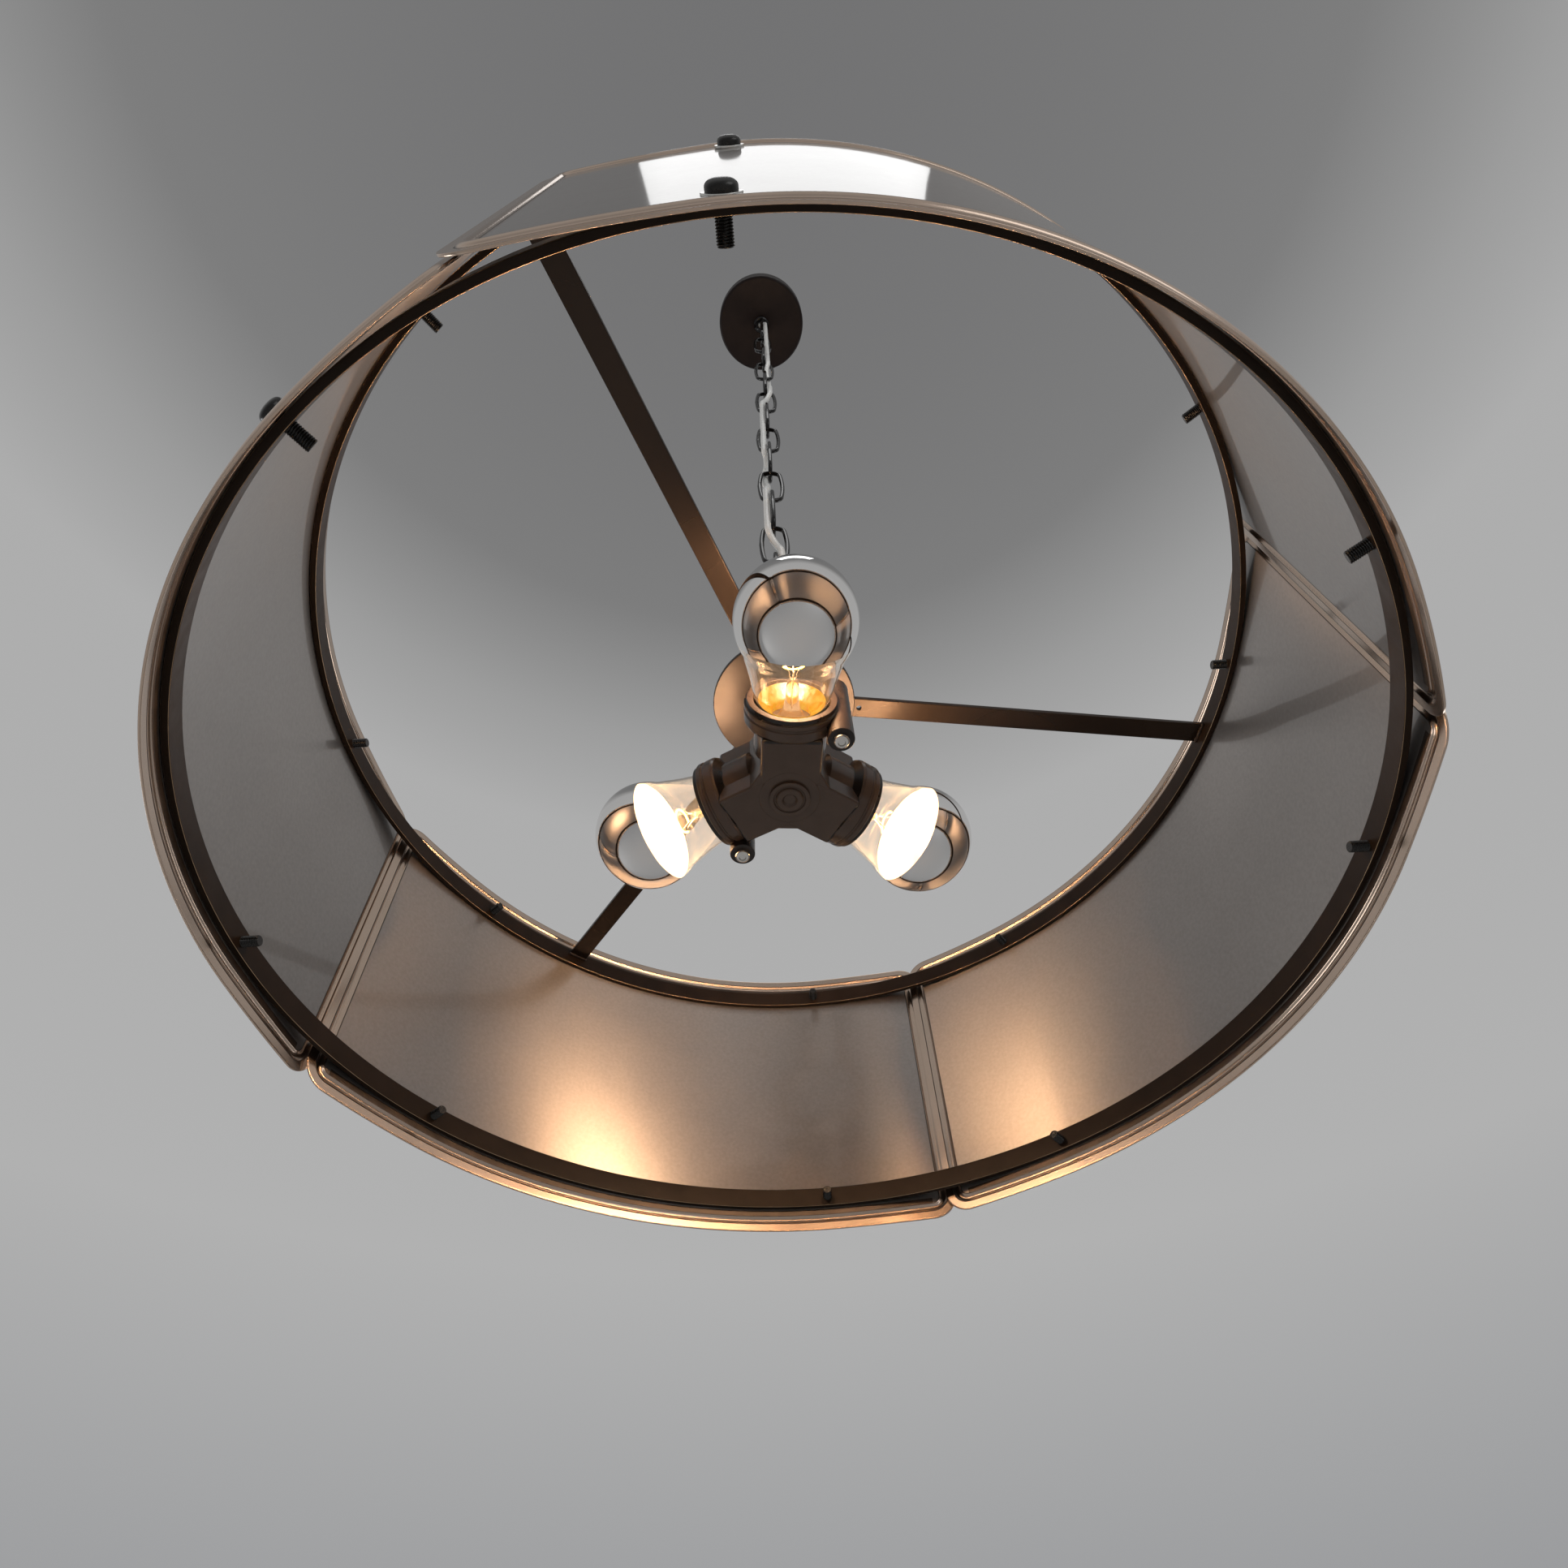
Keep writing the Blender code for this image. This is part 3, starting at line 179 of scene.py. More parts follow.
# Sizes that only this model has
NIPPLE_TOP = 0.0020
TUBE_THREAD_DEPTH = 0.0003
TUBE_THREAD_PITCH = 0.00094
CANOPY_EDGE_STEPS = 8
BAIL_STEPS = 24
LINK_BEND_STEPS = 16
LINK_SIDE_STEPS = 12
LINK_SEAM = 0.00018
SPOOL_SLOPE = 0.0010
DRILL_MARGIN = 0.0020
WELD_BEADS = 9
WELD_BEAD_RADIUS = 0.0011
WELD_LENGTH = 0.94 * BAR_WIDTH
RING_TURNS = 240
BAR_EDGE = 0.0005
# How much the faces of a worn, painted-highlight edge look up or down, as the least and the most
WORN_HIGHLIGHT_SLOPE = (0.2, 0.98)
PANEL_COLUMNS = 96
PANEL_CORNER_STEPS = 12
SHEET_SOFTENING = 0.0002
CREASE = 0.0006
BEAD_STEPS = 10
# Where the strip of painted shade along the panel's long edges ends, from the sheet's edge
PAINTED_SHADE_STRIP_END = 0.0142
SCREW_THREAD_PITCH = 0.0008
PANEL_SCREW_THREAD_DEPTH = 0.0004
PANEL_SCREW_SKIRT = 0.0012
EAR_SCREW_THREAD_DEPTH = 0.0003
EAR_SCREW_SKIRT = 0.0010
RIB_WIDTH = 0.0320
WEB_WIDTH = 0.0200
WEB_PLACE = 0.0215
BARREL_BACK_STEP = 0.0040
COLLAR_CUT = 0.0008
COLLAR_SLOPE = 0.0006
GROOVE_START = 0.0052
GROOVE_WIDTH = 0.0008
SHELL_THREAD_DEPTH = 0.0002
NECK_IN_SCREW = 0.0118
NECK_INSIDE = NECK_IN_SCREW - BULB_GLASS - GAP
NECK_BEND = 0.0262
MIRROR_EDGE = 0.0680
MIRROR_BALL = BULB_LENGTH - BULB_RADIUS
BULB_THREAD_DEPTH = 0.0007
CAP_SHOULDER = 0.0012
CAP_COLLAR = 0.0035
FILAMENT_HEIGHT = 0.0552
FILAMENT_HALF_WIDTH = 0.0082
FILAMENT_HALF_DEPTH = 0.0062
COIL_TURNS = 44
COIL_STEPS = 12
COIL_RADIUS = 0.00042
COIL_WIRE_RADIUS = 0.00016
FILAMENT_SWEEP = 300
FILAMENT_RISE = 0.0012


# Materials

NOISE_RANGE = (0.3, 0.7)
NOISE_DETAIL = 3.0


def add_node(tree, kind, **inputs):
    """A shader node. inputs holds sockets by name, with _ for a space: values or other nodes' outputs."""
    made = tree.nodes.new("ShaderNode" + kind)
    for key, value in inputs.items():
        socket = made.inputs[key.replace("_", " ")]
        if isinstance(value, bpy.types.NodeSocket):
            tree.links.new(value, socket)
        else:
            socket.default_value = value
    return made


def feed(made, source, socket):
    """Lead a node's output into a socket of the finish's shader."""
    made.node_tree.links.new(source, made.node_tree.nodes["Principled BSDF"].inputs[socket])


def noise_of(made, size, detail=NOISE_DETAIL):
    """A noise whose grains are about size metres, in the piece's own coordinates."""
    place = add_node(made.node_tree, "TexCoord").outputs["Object"]
    return add_node(made.node_tree, "TexNoise", Vector=place, Scale=1 / size, Detail=detail).outputs["Fac"]


def vary_colour(made, size, low, high, socket="Base Color"):
    """Let a colour drift between two colours."""
    ramp = add_node(made.node_tree, "ValToRGB", Fac=noise_of(made, size))
    for index, colour in enumerate((low, high)):
        ramp.color_ramp.elements[index].position = NOISE_RANGE[index]
        ramp.color_ramp.elements[index].color = (*colour, 1)
    feed(made, ramp.outputs["Color"], socket)


def vary_roughness(made, size, low, high, detail=NOISE_DETAIL):
    """Let the roughness drift between two values."""
    span = add_node(made.node_tree, "MapRange", Value=noise_of(made, size, detail),
                    From_Min=NOISE_RANGE[0], From_Max=NOISE_RANGE[1], To_Min=low, To_Max=high)
    feed(made, span.outputs["Result"], "Roughness")


def add_bump(made, size, depth):
    """Fine relief of about depth metres."""
    bump = add_node(made.node_tree, "Bump", Distance=depth, Height=noise_of(made, size))
    feed(made, bump.outputs["Normal"], "Normal")


def draw_out_gloss(made, amount):
    """Spread the gloss up and down the piece, as rolled sheet does."""
    upward = add_node(made.node_tree, "CombineXYZ", Z=1).outputs["Vector"]
    turned = add_node(made.node_tree, "VectorTransform", Vector=upward)
    turned.vector_type, turned.convert_from, turned.convert_to = "VECTOR", "OBJECT", "WORLD"
    made.node_tree.nodes["Principled BSDF"].inputs["Anisotropic"].default_value = amount
    feed(made, turned.outputs["Vector"], "Tangent")


def finish(name, colour, roughness, metallic, drift=None, grain=None, relief=None, **more):
    """A Principled finish.

    drift and grain are the size, low and high of what varies in the colour and the roughness, relief is the
    size and depth of the bumps. more holds other sockets by name, with _ for a space.
    """
    made = bpy.data.materials.new(name)
    made.use_nodes = True
    values = {"Base_Color": (*colour, 1), "Roughness": roughness, "Metallic": metallic, **more}
    for key, value in values.items():
        made.node_tree.nodes["Principled BSDF"].inputs[key.replace("_", " ")].default_value = value
    for change, numbers in ((vary_colour, drift), (vary_roughness, grain), (add_bump, relief)):
        if numbers:
            change(made, *numbers)
    return made


bronze = finish(
    "dark_bronze", (0.019, 0.0125, 0.0085), 0.32, 0.1, Specular_IOR_Level=0.08,
    drift=(0.02, (0.016, 0.0105, 0.007), (0.023, 0.015, 0.0105)),
    grain=(0.008, 0.28, 0.36), relief=(0.006, 0.00004))
# Lighter bronze on the rounded edges: partly wear, partly a painted highlight
worn_highlight_edge = finish(
    "worn_bronze_edge_painted_highlight", (0.42, 0.29, 0.18), 0.24, 1.0,
    drift=(0.03, (0.25, 0.17, 0.10), (0.55, 0.39, 0.25)), grain=(0.01, 0.2, 0.3), relief=(0.006, 0.00004))
arm_bronze = finish(
    "arm_bronze", (0.032, 0.021, 0.014), 0.27, 0.6,
    drift=(0.05, (0.03, 0.0195, 0.013), (0.035, 0.023, 0.0155)),
    grain=(0.05, 0.26, 0.28, 0.0), relief=(0.03, 0.00003))
disc_bronze = finish(
    "hub_bronze", (0.042, 0.036, 0.034), 0.36, 0.8,
    drift=(0.015, (0.038, 0.033, 0.031), (0.046, 0.039, 0.037)),
    grain=(0.012, 0.33, 0.39), relief=(0.012, 0.00001))
sheet_metal = finish(
    "satin_bronze_sheet", (0.315, 0.285, 0.265), 0.29, 1.0,
    Coat_Weight=0.65, Coat_Roughness=0.06, drift=(0.0022, (0.295, 0.267, 0.248), (0.335, 0.303, 0.282)),
    grain=(0.02, 0.28, 0.30), relief=(0.03, 0.00001))
draw_out_gloss(sheet_metal, 0.93)
# Painted highlight: the border is the same bronze sheet, made lighter to stand for the bright reflection
# along it
border_painted_highlight_metal = finish(
    "bronze_sheet_border_painted_highlight", (0.55, 0.43, 0.345), 0.2, 1.0,
    drift=(0.02, (0.53, 0.415, 0.33), (0.57, 0.445, 0.36)), grain=(0.03, 0.19, 0.21))
# Painted shade: a dark copy of the bronze for the creases beside the bead and the strip by the rings
painted_shade_bronze = finish(
    "painted_crease_shade", (0.05, 0.037, 0.03), 0.35, 0.6,
    drift=(0.02, (0.035, 0.026, 0.02), (0.07, 0.052, 0.042)), grain=(0.01, 0.3, 0.4), relief=(0.01, 0.00002))
black = finish(
    "gloss_black", (0.006, 0.0055, 0.0055), 0.1, 0.0, Specular_IOR_Level=0.35,
    grain=(0.004, 0.07, 0.14), relief=(0.003, 0.00002))
screw_black = finish(
    "black_oxide", (0.012, 0.011, 0.010), 0.24, 0.3,
    grain=(0.001, 0.2, 0.32), relief=(0.0005, 0.00001))
canopy_finish = finish(
    "dark_red_bronze", (0.010, 0.0055, 0.005), 0.42, 0.0, Specular_IOR_Level=0.17,
    drift=(0.02, (0.009, 0.005, 0.0045), (0.013, 0.0075, 0.0065)),
    grain=(0.003, 0.36, 0.48), relief=(0.001, 0.00005))
phenolic = finish(
    "moulded_brown", (0.075, 0.045, 0.029), 0.22, 0.0, Specular_IOR_Level=0.4,
    drift=(0.01, (0.070, 0.042, 0.027), (0.081, 0.049, 0.032)),
    grain=(0.006, 0.18, 0.27), relief=(0.01, 0.00002))
# Painted shade: a dark copy of the moulding for the socket throats, rims and screw ears
painted_shade_moulding = finish(
    "moulded_painted_shade", (0.014, 0.009, 0.006), 0.24, 0.0, Specular_IOR_Level=0.4,
    grain=(0.004, 0.26, 0.36), relief=(0.004, 0.00002))
zinc = finish("zinc", (0.66, 0.65, 0.62), 0.2, 1.0, grain=(0.001, 0.14, 0.26), relief=(0.0006, 0.00001))
nickel = finish("nickel", (0.72, 0.66, 0.55), 0.2, 1.0, grain=(0.002, 0.15, 0.27), relief=(0.001, 0.00001))
brass = finish("brass", (0.78, 0.56, 0.26), 0.25, 1.0, grain=(0.002, 0.2, 0.32), relief=(0.001, 0.00001))
mirror = finish("silvered_crown", (0.80, 0.79, 0.78), 0.03, 1.0, grain=(0.01, 0.02, 0.045))
# Painted glow: the crown's inside emits light, standing for the filament's light in the mirror
glow_inside = finish(
    "lit_crown_inside", (0.92, 0.86, 0.76), 0.2, 1.0,
    Emission_Color=(1.0, 0.76, 0.52, 1), Emission_Strength=0.8, grain=(0.01, 0.17, 0.23))
# Painted glow: the dark bowl inside the cap emits amber light, standing for the filament's light on it
painted_amber_glow = finish(
    "lit_cap_inside", (0.012, 0.005, 0.0002), 0.3, 0.0, Specular_IOR_Level=0.25,
    Emission_Color=(1.0, 0.46, 0.006, 1), Emission_Strength=0.7,
    drift=(0.004, (1.0, 0.34, 0.0), (1.0, 0.56, 0.015), "Emission Color"),
    grain=(0.004, 0.2, 0.4), relief=(0.004, 0.0003))
# The clear glass has a faint painted warm glow
glass = finish(
    "clear_glass_painted_glow", (1.0, 0.985, 0.96), 0.0, 0.0, Transmission_Weight=1.0, IOR=1.45,
    Emission_Color=(1.0, 0.70, 0.40, 1), Emission_Strength=0.02, relief=(0.02, 0.00004))
stem_glass = finish(
    "stem_glass", (1.0, 0.88, 0.6), 0.02, 0.0, Transmission_Weight=1.0, IOR=1.5,
    relief=(0.006, 0.00003))
filament_finish = finish(
    "filament", (0.9, 0.6, 0.3), 0.5, 0.0,
    Emission_Color=(1.0, 0.66, 0.06, 1), Emission_Strength=16.0, relief=(0.0004, 0.00005))
insulator = finish("black_glass", (0.01, 0.01, 0.012), 0.12, 0.0, relief=(0.002, 0.00002))
cord_finish = finish(
    "pale_cord", (0.9, 0.9, 0.88), 0.32, 0.0, Sheen_Weight=0.1,
    drift=(0.006, (0.82, 0.82, 0.79), (0.9, 0.9, 0.87)), grain=(0.003, 0.26, 0.4), relief=(0.0016, 0.00004))
weld = finish("weld_bead", (0.05, 0.037, 0.03), 0.42, 0.5, relief=(0.0012, 0.0002))

# What the lamps already give isn't sampled a second time
for made in (filament_finish, glow_inside):
    made.cycles.emission_sampling = "NONE"


# Objects

def add_object(name, data):
    """A new object in the scene."""
    made = bpy.data.objects.new(name, data)
    bpy.context.scene.collection.objects.link(made)
    return made


def finish_mesh(bm, name, sharp=40):
    """Turn a bmesh into a mesh with its faces pointing out and its round sides smooth."""
    bmesh.ops.recalc_face_normals(bm, faces=bm.faces)
    mesh = bpy.data.meshes.new(name)
    bm.to_mesh(mesh)
    bm.free()
    mesh.shade_smooth()
    mesh.set_sharp_from_angle(angle=radians(sharp))
    return mesh


def piece(name, mesh, finishes, body, stands_for=(), place=None):
    """Put one piece of the dressed model on its CAD body, with its place in its own mesh."""
    if place is not None:
        mesh = mesh.copy()
        mesh.transform(place)
    made = add_object(name, mesh)
    for one in (finishes if isinstance(finishes, list) else [finishes]):
        mesh.materials.append(one)
    if body is not None:
        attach(made, body)
    if stands_for:
        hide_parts(*stands_for)
    return made


def dressed(node, mesh, finishes, body, place=None):
    """The piece that takes the place of one CAD node."""
    return piece(node + "_dressed", mesh, finishes, body, (node,), place)


def keep_flats(made):
    """Let the flat faces of a piece shade flat up to their rounded edges."""
    modifier = made.modifiers.new("flats", "WEIGHTED_NORMAL")
    modifier.keep_sharp = True


# Shapes

STRAIGHT = radians(165)
ROUNDED_SHARE = 0.45


def rounded(profile, radius, steps=3):
    """Round the corners of a closed outline; points on the axis stay sharp."""
    made = []
    count = len(profile)
    for index, here in enumerate(profile):
        before, after = Vector(profile[index - 1]), Vector(profile[(index + 1) % count])
        point = Vector(here)
        back, ahead = before - point, after - point
        if point.x == 0 or back.length < 1e-7 or ahead.length < 1e-7 or back.angle(ahead) > STRAIGHT:
            made.append(tuple(point))
            continue
        reach = min(radius / tan(back.angle(ahead) / 2), ROUNDED_SHARE * back.length,
                    ROUNDED_SHARE * ahead.length)
        start, end = point + back.normalized() * reach, point + ahead.normalized() * reach
        for step in range(steps + 1):
            share = step / steps
            made.append(tuple((1 - share) ** 2 * start + 2 * share * (1 - share) * point + share ** 2 * end))
    return made


def skin(bm, rows, closed=False, material=0):
    """Faces between rows of vertices. A row goes round once, and a row of one vertex is a pole."""
    around = max(len(row) for row in rows)
    for here, there in zip(rows, rows[1:] + rows[:1] if closed else rows[1:]):
        if len(here) == 1 and len(there) == 1:
            continue
        for k in range(around):
            after = (k + 1) % around
            corners = [here[k % len(here)], here[after % len(here)],
                       there[after % len(there)], there[k % len(there)]]
            bm.faces.new(list(dict.fromkeys(corners))).material_index = material


def close_ends(bm, rows):
    """Faces over the first and the last row."""
    bm.faces.new(rows[0])
    bm.faces.new(rows[-1])


def add_lathe(bm, profile, segments, place=None, open_ends=False, material=0):
    """Turn an outline of (radius, height) points about Z."""
    place = Matrix.Identity(4) if place is None else place
    turns = [2 * pi * k / segments for k in range(segments)]
    rows = []
    for radius, height in profile:
        if radius < 1e-7:
            rows.append([bm.verts.new(place @ Vector((0, 0, height)))])
        else:
            rows.append([bm.verts.new(place @ Vector((radius * cos(turn), radius * sin(turn), height)))
                         for turn in turns])
    skin(bm, rows, not open_ends, material)


def lathe(name, profile, segments=64, edge=0.0004):
    """A mesh turned about Z with rounded corners."""
    bm = bmesh.new()
    add_lathe(bm, rounded(profile, edge), segments)
    return finish_mesh(bm, name)


def tube(inner, outer, low, high):
    """Outline of a plain tube or washer, or of a rod when inner is 0."""
    return [(inner, low), (outer, low), (outer, high), (inner, high)]


def dome(radius, power, low, rise, top, steps):
    """Side of a round head that rises from low while it turns in through top degrees."""
    turns = [radians(top * step / steps) for step in range(steps + 1)]
    return [(radius * cos(turn) ** power, low + rise * sin(turn) / sin(radians(top))) for turn in turns]


def smooth_line(points, steps):
    """More points along a line, on a curve through all of them."""
    points = [Vector(point) for point in points]
    made = []
    for index in range(len(points) - 1):
        p1, p2 = points[index], points[index + 1]
        p0 = points[index - 1] if index else 2 * p1 - p2
        p3 = points[index + 2] if index + 2 < len(points) else 2 * p2 - p1
        for step in range(steps):
            t = step / steps
            made.append(0.5 * (2 * p1 + (p2 - p0) * t + (2 * p0 - 5 * p1 + 4 * p2 - p3) * t * t
                               + (3 * p1 - p0 - 3 * p2 + p3) * t ** 3))
    return made + [points[-1]]


def add_sweep(bm, points, radius, sides, closed=False, place=None):
    """A round bar along points, kept from twisting. Radius is a number or one for each point."""
    place = Matrix.Identity(4) if place is None else place
    count = len(points)
    radii = radius if isinstance(radius, list) else [radius] * count
    turns = [2 * pi * k / sides for k in range(sides)]
    side = None
    rows = []
    for index, point in enumerate(points):
        before = points[index - 1] if closed or index > 0 else point
        after = points[(index + 1) % count] if closed or index < count - 1 else point
        along = (after - before).normalized()
        if side is None:
            side = along.orthogonal().normalized()
        side = (side - along * side.dot(along)).normalized()
        up = along.cross(side)
        rows.append([bm.verts.new(place @ (point + radii[index] * (cos(turn) * side + sin(turn) * up)))
                     for turn in turns])
    skin(bm, rows, closed)
    if not closed:
        close_ends(bm, rows)


def add_thread(bm, radius, depth, pitch, low, high, around, per_turn, round_form=False, caps=True):
    """A threaded rod along Z."""
    steps = max(2, int(round((high - low) / pitch * per_turn)))
    rows = []
    for step in range(steps + 1):
        height = low + (high - low) * step / steps
        fade = min(1, (height - low) / pitch * 2, (high - height) / pitch * 2)
        row = []
        for k in range(around):
            turn = (height / pitch - k / around) % 1
            cut = (0.5 - 0.5 * cos(2 * pi * turn)) if round_form else abs(2 * turn - 1)
            here = radius - depth * (1 - (1 - cut) * fade)
            angle = 2 * pi * k / around
            row.append(bm.verts.new((here * cos(angle), here * sin(angle), height)))
        rows.append(row)
    skin(bm, rows)
    if caps:
        close_ends(bm, rows)


def add_block(bm, low, high, place, edge):
    """A block between two corners, with slightly rounded edges."""
    made = bmesh.ops.create_cube(bm, size=1.0)["verts"]
    size = Vector(high) - Vector(low)
    middle = (Vector(high) + Vector(low)) / 2
    bmesh.ops.transform(bm, verts=made, matrix=Matrix.Translation(middle) @ Matrix.Diagonal((*size, 1)))
    edges = list(dict.fromkeys(one for vert in made for one in vert.link_edges))
    done = bmesh.ops.bevel(bm, geom=edges, offset=edge, segments=3, affect="EDGES", profile=0.5)
    made = [vert for face in done["faces"] for vert in face.verts] + [vert for vert in made if vert.is_valid]
    bmesh.ops.transform(bm, verts=list(dict.fromkeys(made)), matrix=place)


def aimed(place, direction):
    """A frame at a place whose Z axis runs along a level direction, with its Y axis level too."""
    ahead = Vector(direction).normalized()
    side = Vector((0, 0, 1)).cross(ahead).normalized()
    turn = Matrix((side.cross(ahead), side, ahead)).transposed().to_4x4()
    return Matrix.Translation(Vector(place)) @ turn


def heading(angle):
    """Level direction at an angle in radians from +X."""
    return Vector((cos(angle), sin(angle), 0))


# Camera, at the photograph's viewing angle. Its places are in pixels of the 1932 by 1932 photograph.

IMAGE_SIDE = 1932
CAMERA_FOCUS = 1182.43
CAMERA_CENTRE = (971.71, 1087.50)
CAMERA_TURN = (-0.8541, -0.0254, 0.0302)
CAMERA_PLACE = (-0.0199, -0.3022, -1.5938)
SENSOR_WIDTH = 36


def make_camera():
    """Camera below the drum, looking up into it."""
    turn = Matrix.Rotation(Vector(CAMERA_TURN).length, 3, Vector(CAMERA_TURN))
    right, ahead, up = turn.row[0], turn.row[1], turn.row[2]
    data = bpy.data.cameras.new("camera")
    data.sensor_width = SENSOR_WIDTH
    data.lens = CAMERA_FOCUS / IMAGE_SIDE * SENSOR_WIDTH
    data.shift_x = (IMAGE_SIDE / 2 - CAMERA_CENTRE[0]) / IMAGE_SIDE
    data.shift_y = (CAMERA_CENTRE[1] - IMAGE_SIDE / 2) / IMAGE_SIDE
    data.clip_start = 0.01
    camera = add_object("camera", data)
    axes = Matrix((right, up, -ahead)).transposed().to_4x4()
    camera.matrix_world = Matrix.Translation(CAMERA_PLACE) @ axes
    bpy.context.scene.camera = camera


make_camera()


# Supply cord, on the same route as in the CAD source

CORD_SIDES = [(1, -1), (1, -1), (1, -1), (1, -1), (1, 1), (1, -1), (-1, -1), (-1, -1),
              (-1, -1), (-1, 1), (-1, -1), (-1, -1), (1, -1), (1, -1), (1, -1)]
CROSSING_SHARES = (0, 0.04, 0.33, 0.67, 0.96)
DRAW_IN_SHARES = (1, 1, 0.66, 0.66, 1)
CORD_AT_BASE = 0.12 * CORD_SIDE
CORD_IN_LOOP = 0.9 * CORD_SIDE
CORD_END_GAP = 0.002
CORD_SMOOTHING = 5
CORD_FACETS = 20


def interlock(number):
    """Height of the wire by which link `number` holds the next one; 0 is the canopy's loop."""
    hung = min(number, 2) + (number > LINK_COUNT - 1)
    return CANOPY_LOOP_WIRE - hung * HUNG_PITCH - (number - hung) * JOINED_PITCH


def cord_route():
    """The cord's centre line from above the ceiling plane to the top of the socket cluster."""
    points = [(0, 0, CORD_EXPOSED), (0, 0, CANOPY_BOTTOM / 2),
              (0, 0, CANOPY_LOOP_BASE + LOOP_BASE_HEIGHT / 2),
              (CORD_AT_BASE, -CORD_AT_BASE, CANOPY_LOOP_BASE),
              (CORD_IN_LOOP, -CORD_IN_LOOP, (CANOPY_LOOP_BASE + CANOPY_LOOP_WIRE) / 2 - WIRE),
              (CORD_SIDE, -CORD_SIDE, CANOPY_LOOP_WIRE + WIRE)]
    for number in range(LINK_COUNT):
        here, there = CORD_SIDES[number], CORD_SIDES[number + 1]
        crosses = here != there
        for step, (share, drawn) in enumerate(zip(CROSSING_SHARES, DRAW_IN_SHARES)):
            if number == 0 and step == 0:
                continue
            x, y = (here[k] + share * (there[k] - here[k]) for k in (0, 1))
            if crosses and here[0] == there[0]:
                x *= drawn
            if crosses and here[1] == there[1]:
                y *= drawn
            drop = interlock(number) - interlock(number + 1)
            height = interlock(number) - step * drop / len(CROSSING_SHARES)
            points.append((x * CORD_SIDE, y * CORD_SIDE, height))
    points += [(CORD_SIDE, -CORD_SIDE, HUB_LOOP_WIRE - WIRE),
               (CORD_IN_LOOP, -CORD_IN_LOOP, (HUB_LOOP_BASE + HUB_LOOP_WIRE) / 2 + WIRE),
               (CORD_AT_BASE, -CORD_AT_BASE, HUB_LOOP_BASE),
               (0, 0, HUB_LOOP_BASE - LOOP_BASE_HEIGHT / 2), (0, 0, DISC_TOP),
               (0, 0, CLUSTER_TOP - NUT_HEIGHT - CORD_END_GAP)]
    return smooth_line(points, CORD_SMOOTHING)


def make_cord():
    """Five stretches: one on each side of the two end links, and the one that rides the chain."""
    cuts = [(interlock(k) + interlock(k + 1)) / 2 for k in (0, 1, LINK_COUNT - 2, LINK_COUNT - 1)]
    stretches = [[]]
    for point in cord_route():
        stretches[-1].append(point)
        if cuts and point.z < cuts[0]:
            stretches.append([point])
            cuts.pop(0)
    rows = (("cord_at_ceiling", ("cord_at_canopy",), ("ceiling_mount", "top_link", interlock(0))),
            ("cord_by_first_link", (), ("top_link", "chain", interlock(1))),
            ("cord_along_chain", ("cord_in_chain",), None),
            ("cord_by_last_link", (), ("chain", "bottom_link", interlock(LINK_COUNT - 1))),
            ("cord_to_hub", ("cord_at_hub",), ("bottom_link", "shade", interlock(LINK_COUNT))))
    for (name, stands_for, joint), points in zip(rows, stretches):
        bm = bmesh.new()
        add_sweep(bm, points, CORD_DIAMETER / 2, CORD_FACETS)
        made = piece(name, finish_mesh(bm, name, 60), cord_finish, None if joint else "chain", stands_for)
        if joint:
            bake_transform(made)


make_cord()


# Fasteners that keep the CAD's own shapes

for node in ("ceiling_bracket", "box_screw_1", "box_screw_2", "canopy_nut", "hub_nipple", "cluster_nut"):
    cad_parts[node].data.materials.clear()
    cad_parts[node].data.materials.append(zinc)


# Canopy and the loops at both ends of the chain

def make_canopy():
    """Round pan and the threaded tube through it."""
    hole = NIPPLE_RADIUS + GAP
    middle, height = CANOPY_RADIUS - CANOPY_EDGE_RADIUS, CANOPY_BOTTOM + CANOPY_EDGE_RADIUS
    turns = [step * pi / 2 / CANOPY_EDGE_STEPS for step in range(CANOPY_EDGE_STEPS + 1)]
    edge, inner_edge = ([(middle + reach * sin(turn), height - reach * cos(turn)) for turn in turns]
                        for reach in (CANOPY_EDGE_RADIUS, CANOPY_EDGE_RADIUS - CANOPY_WALL))
    profile = ([(hole, CANOPY_BOTTOM)] + edge + [(CANOPY_RADIUS, -GAP), (CANOPY_RADIUS - CANOPY_WALL, -GAP)]
               + inner_edge[::-1] + [(hole, CANOPY_BOTTOM + CANOPY_WALL)])
    piece("canopy_pan", lathe("canopy_pan", profile, 128, 0.0003), canopy_finish, "ceiling_mount",
          ("canopy",))

    low, high = CANOPY_LOOP_BASE + LOOP_BASE_HEIGHT / 2, NIPPLE_TOP
    root = NIPPLE_RADIUS - TUBE_THREAD_DEPTH
    bm = bmesh.new()
    add_thread(bm, NIPPLE_RADIUS, TUBE_THREAD_DEPTH, TUBE_THREAD_PITCH, low, high, 32, 6, caps=False)
    add_lathe(bm, [(root, high), (NIPPLE_BORE_RADIUS, high), (NIPPLE_BORE_RADIUS, low), (root, low)], 32,
              open_ends=True)
    bmesh.ops.remove_doubles(bm, verts=bm.verts, dist=1e-6)
    piece("canopy_threaded_tube", finish_mesh(bm, "canopy_threaded_tube", 60), zinc, "ceiling_mount",
          ("canopy_nipple",))


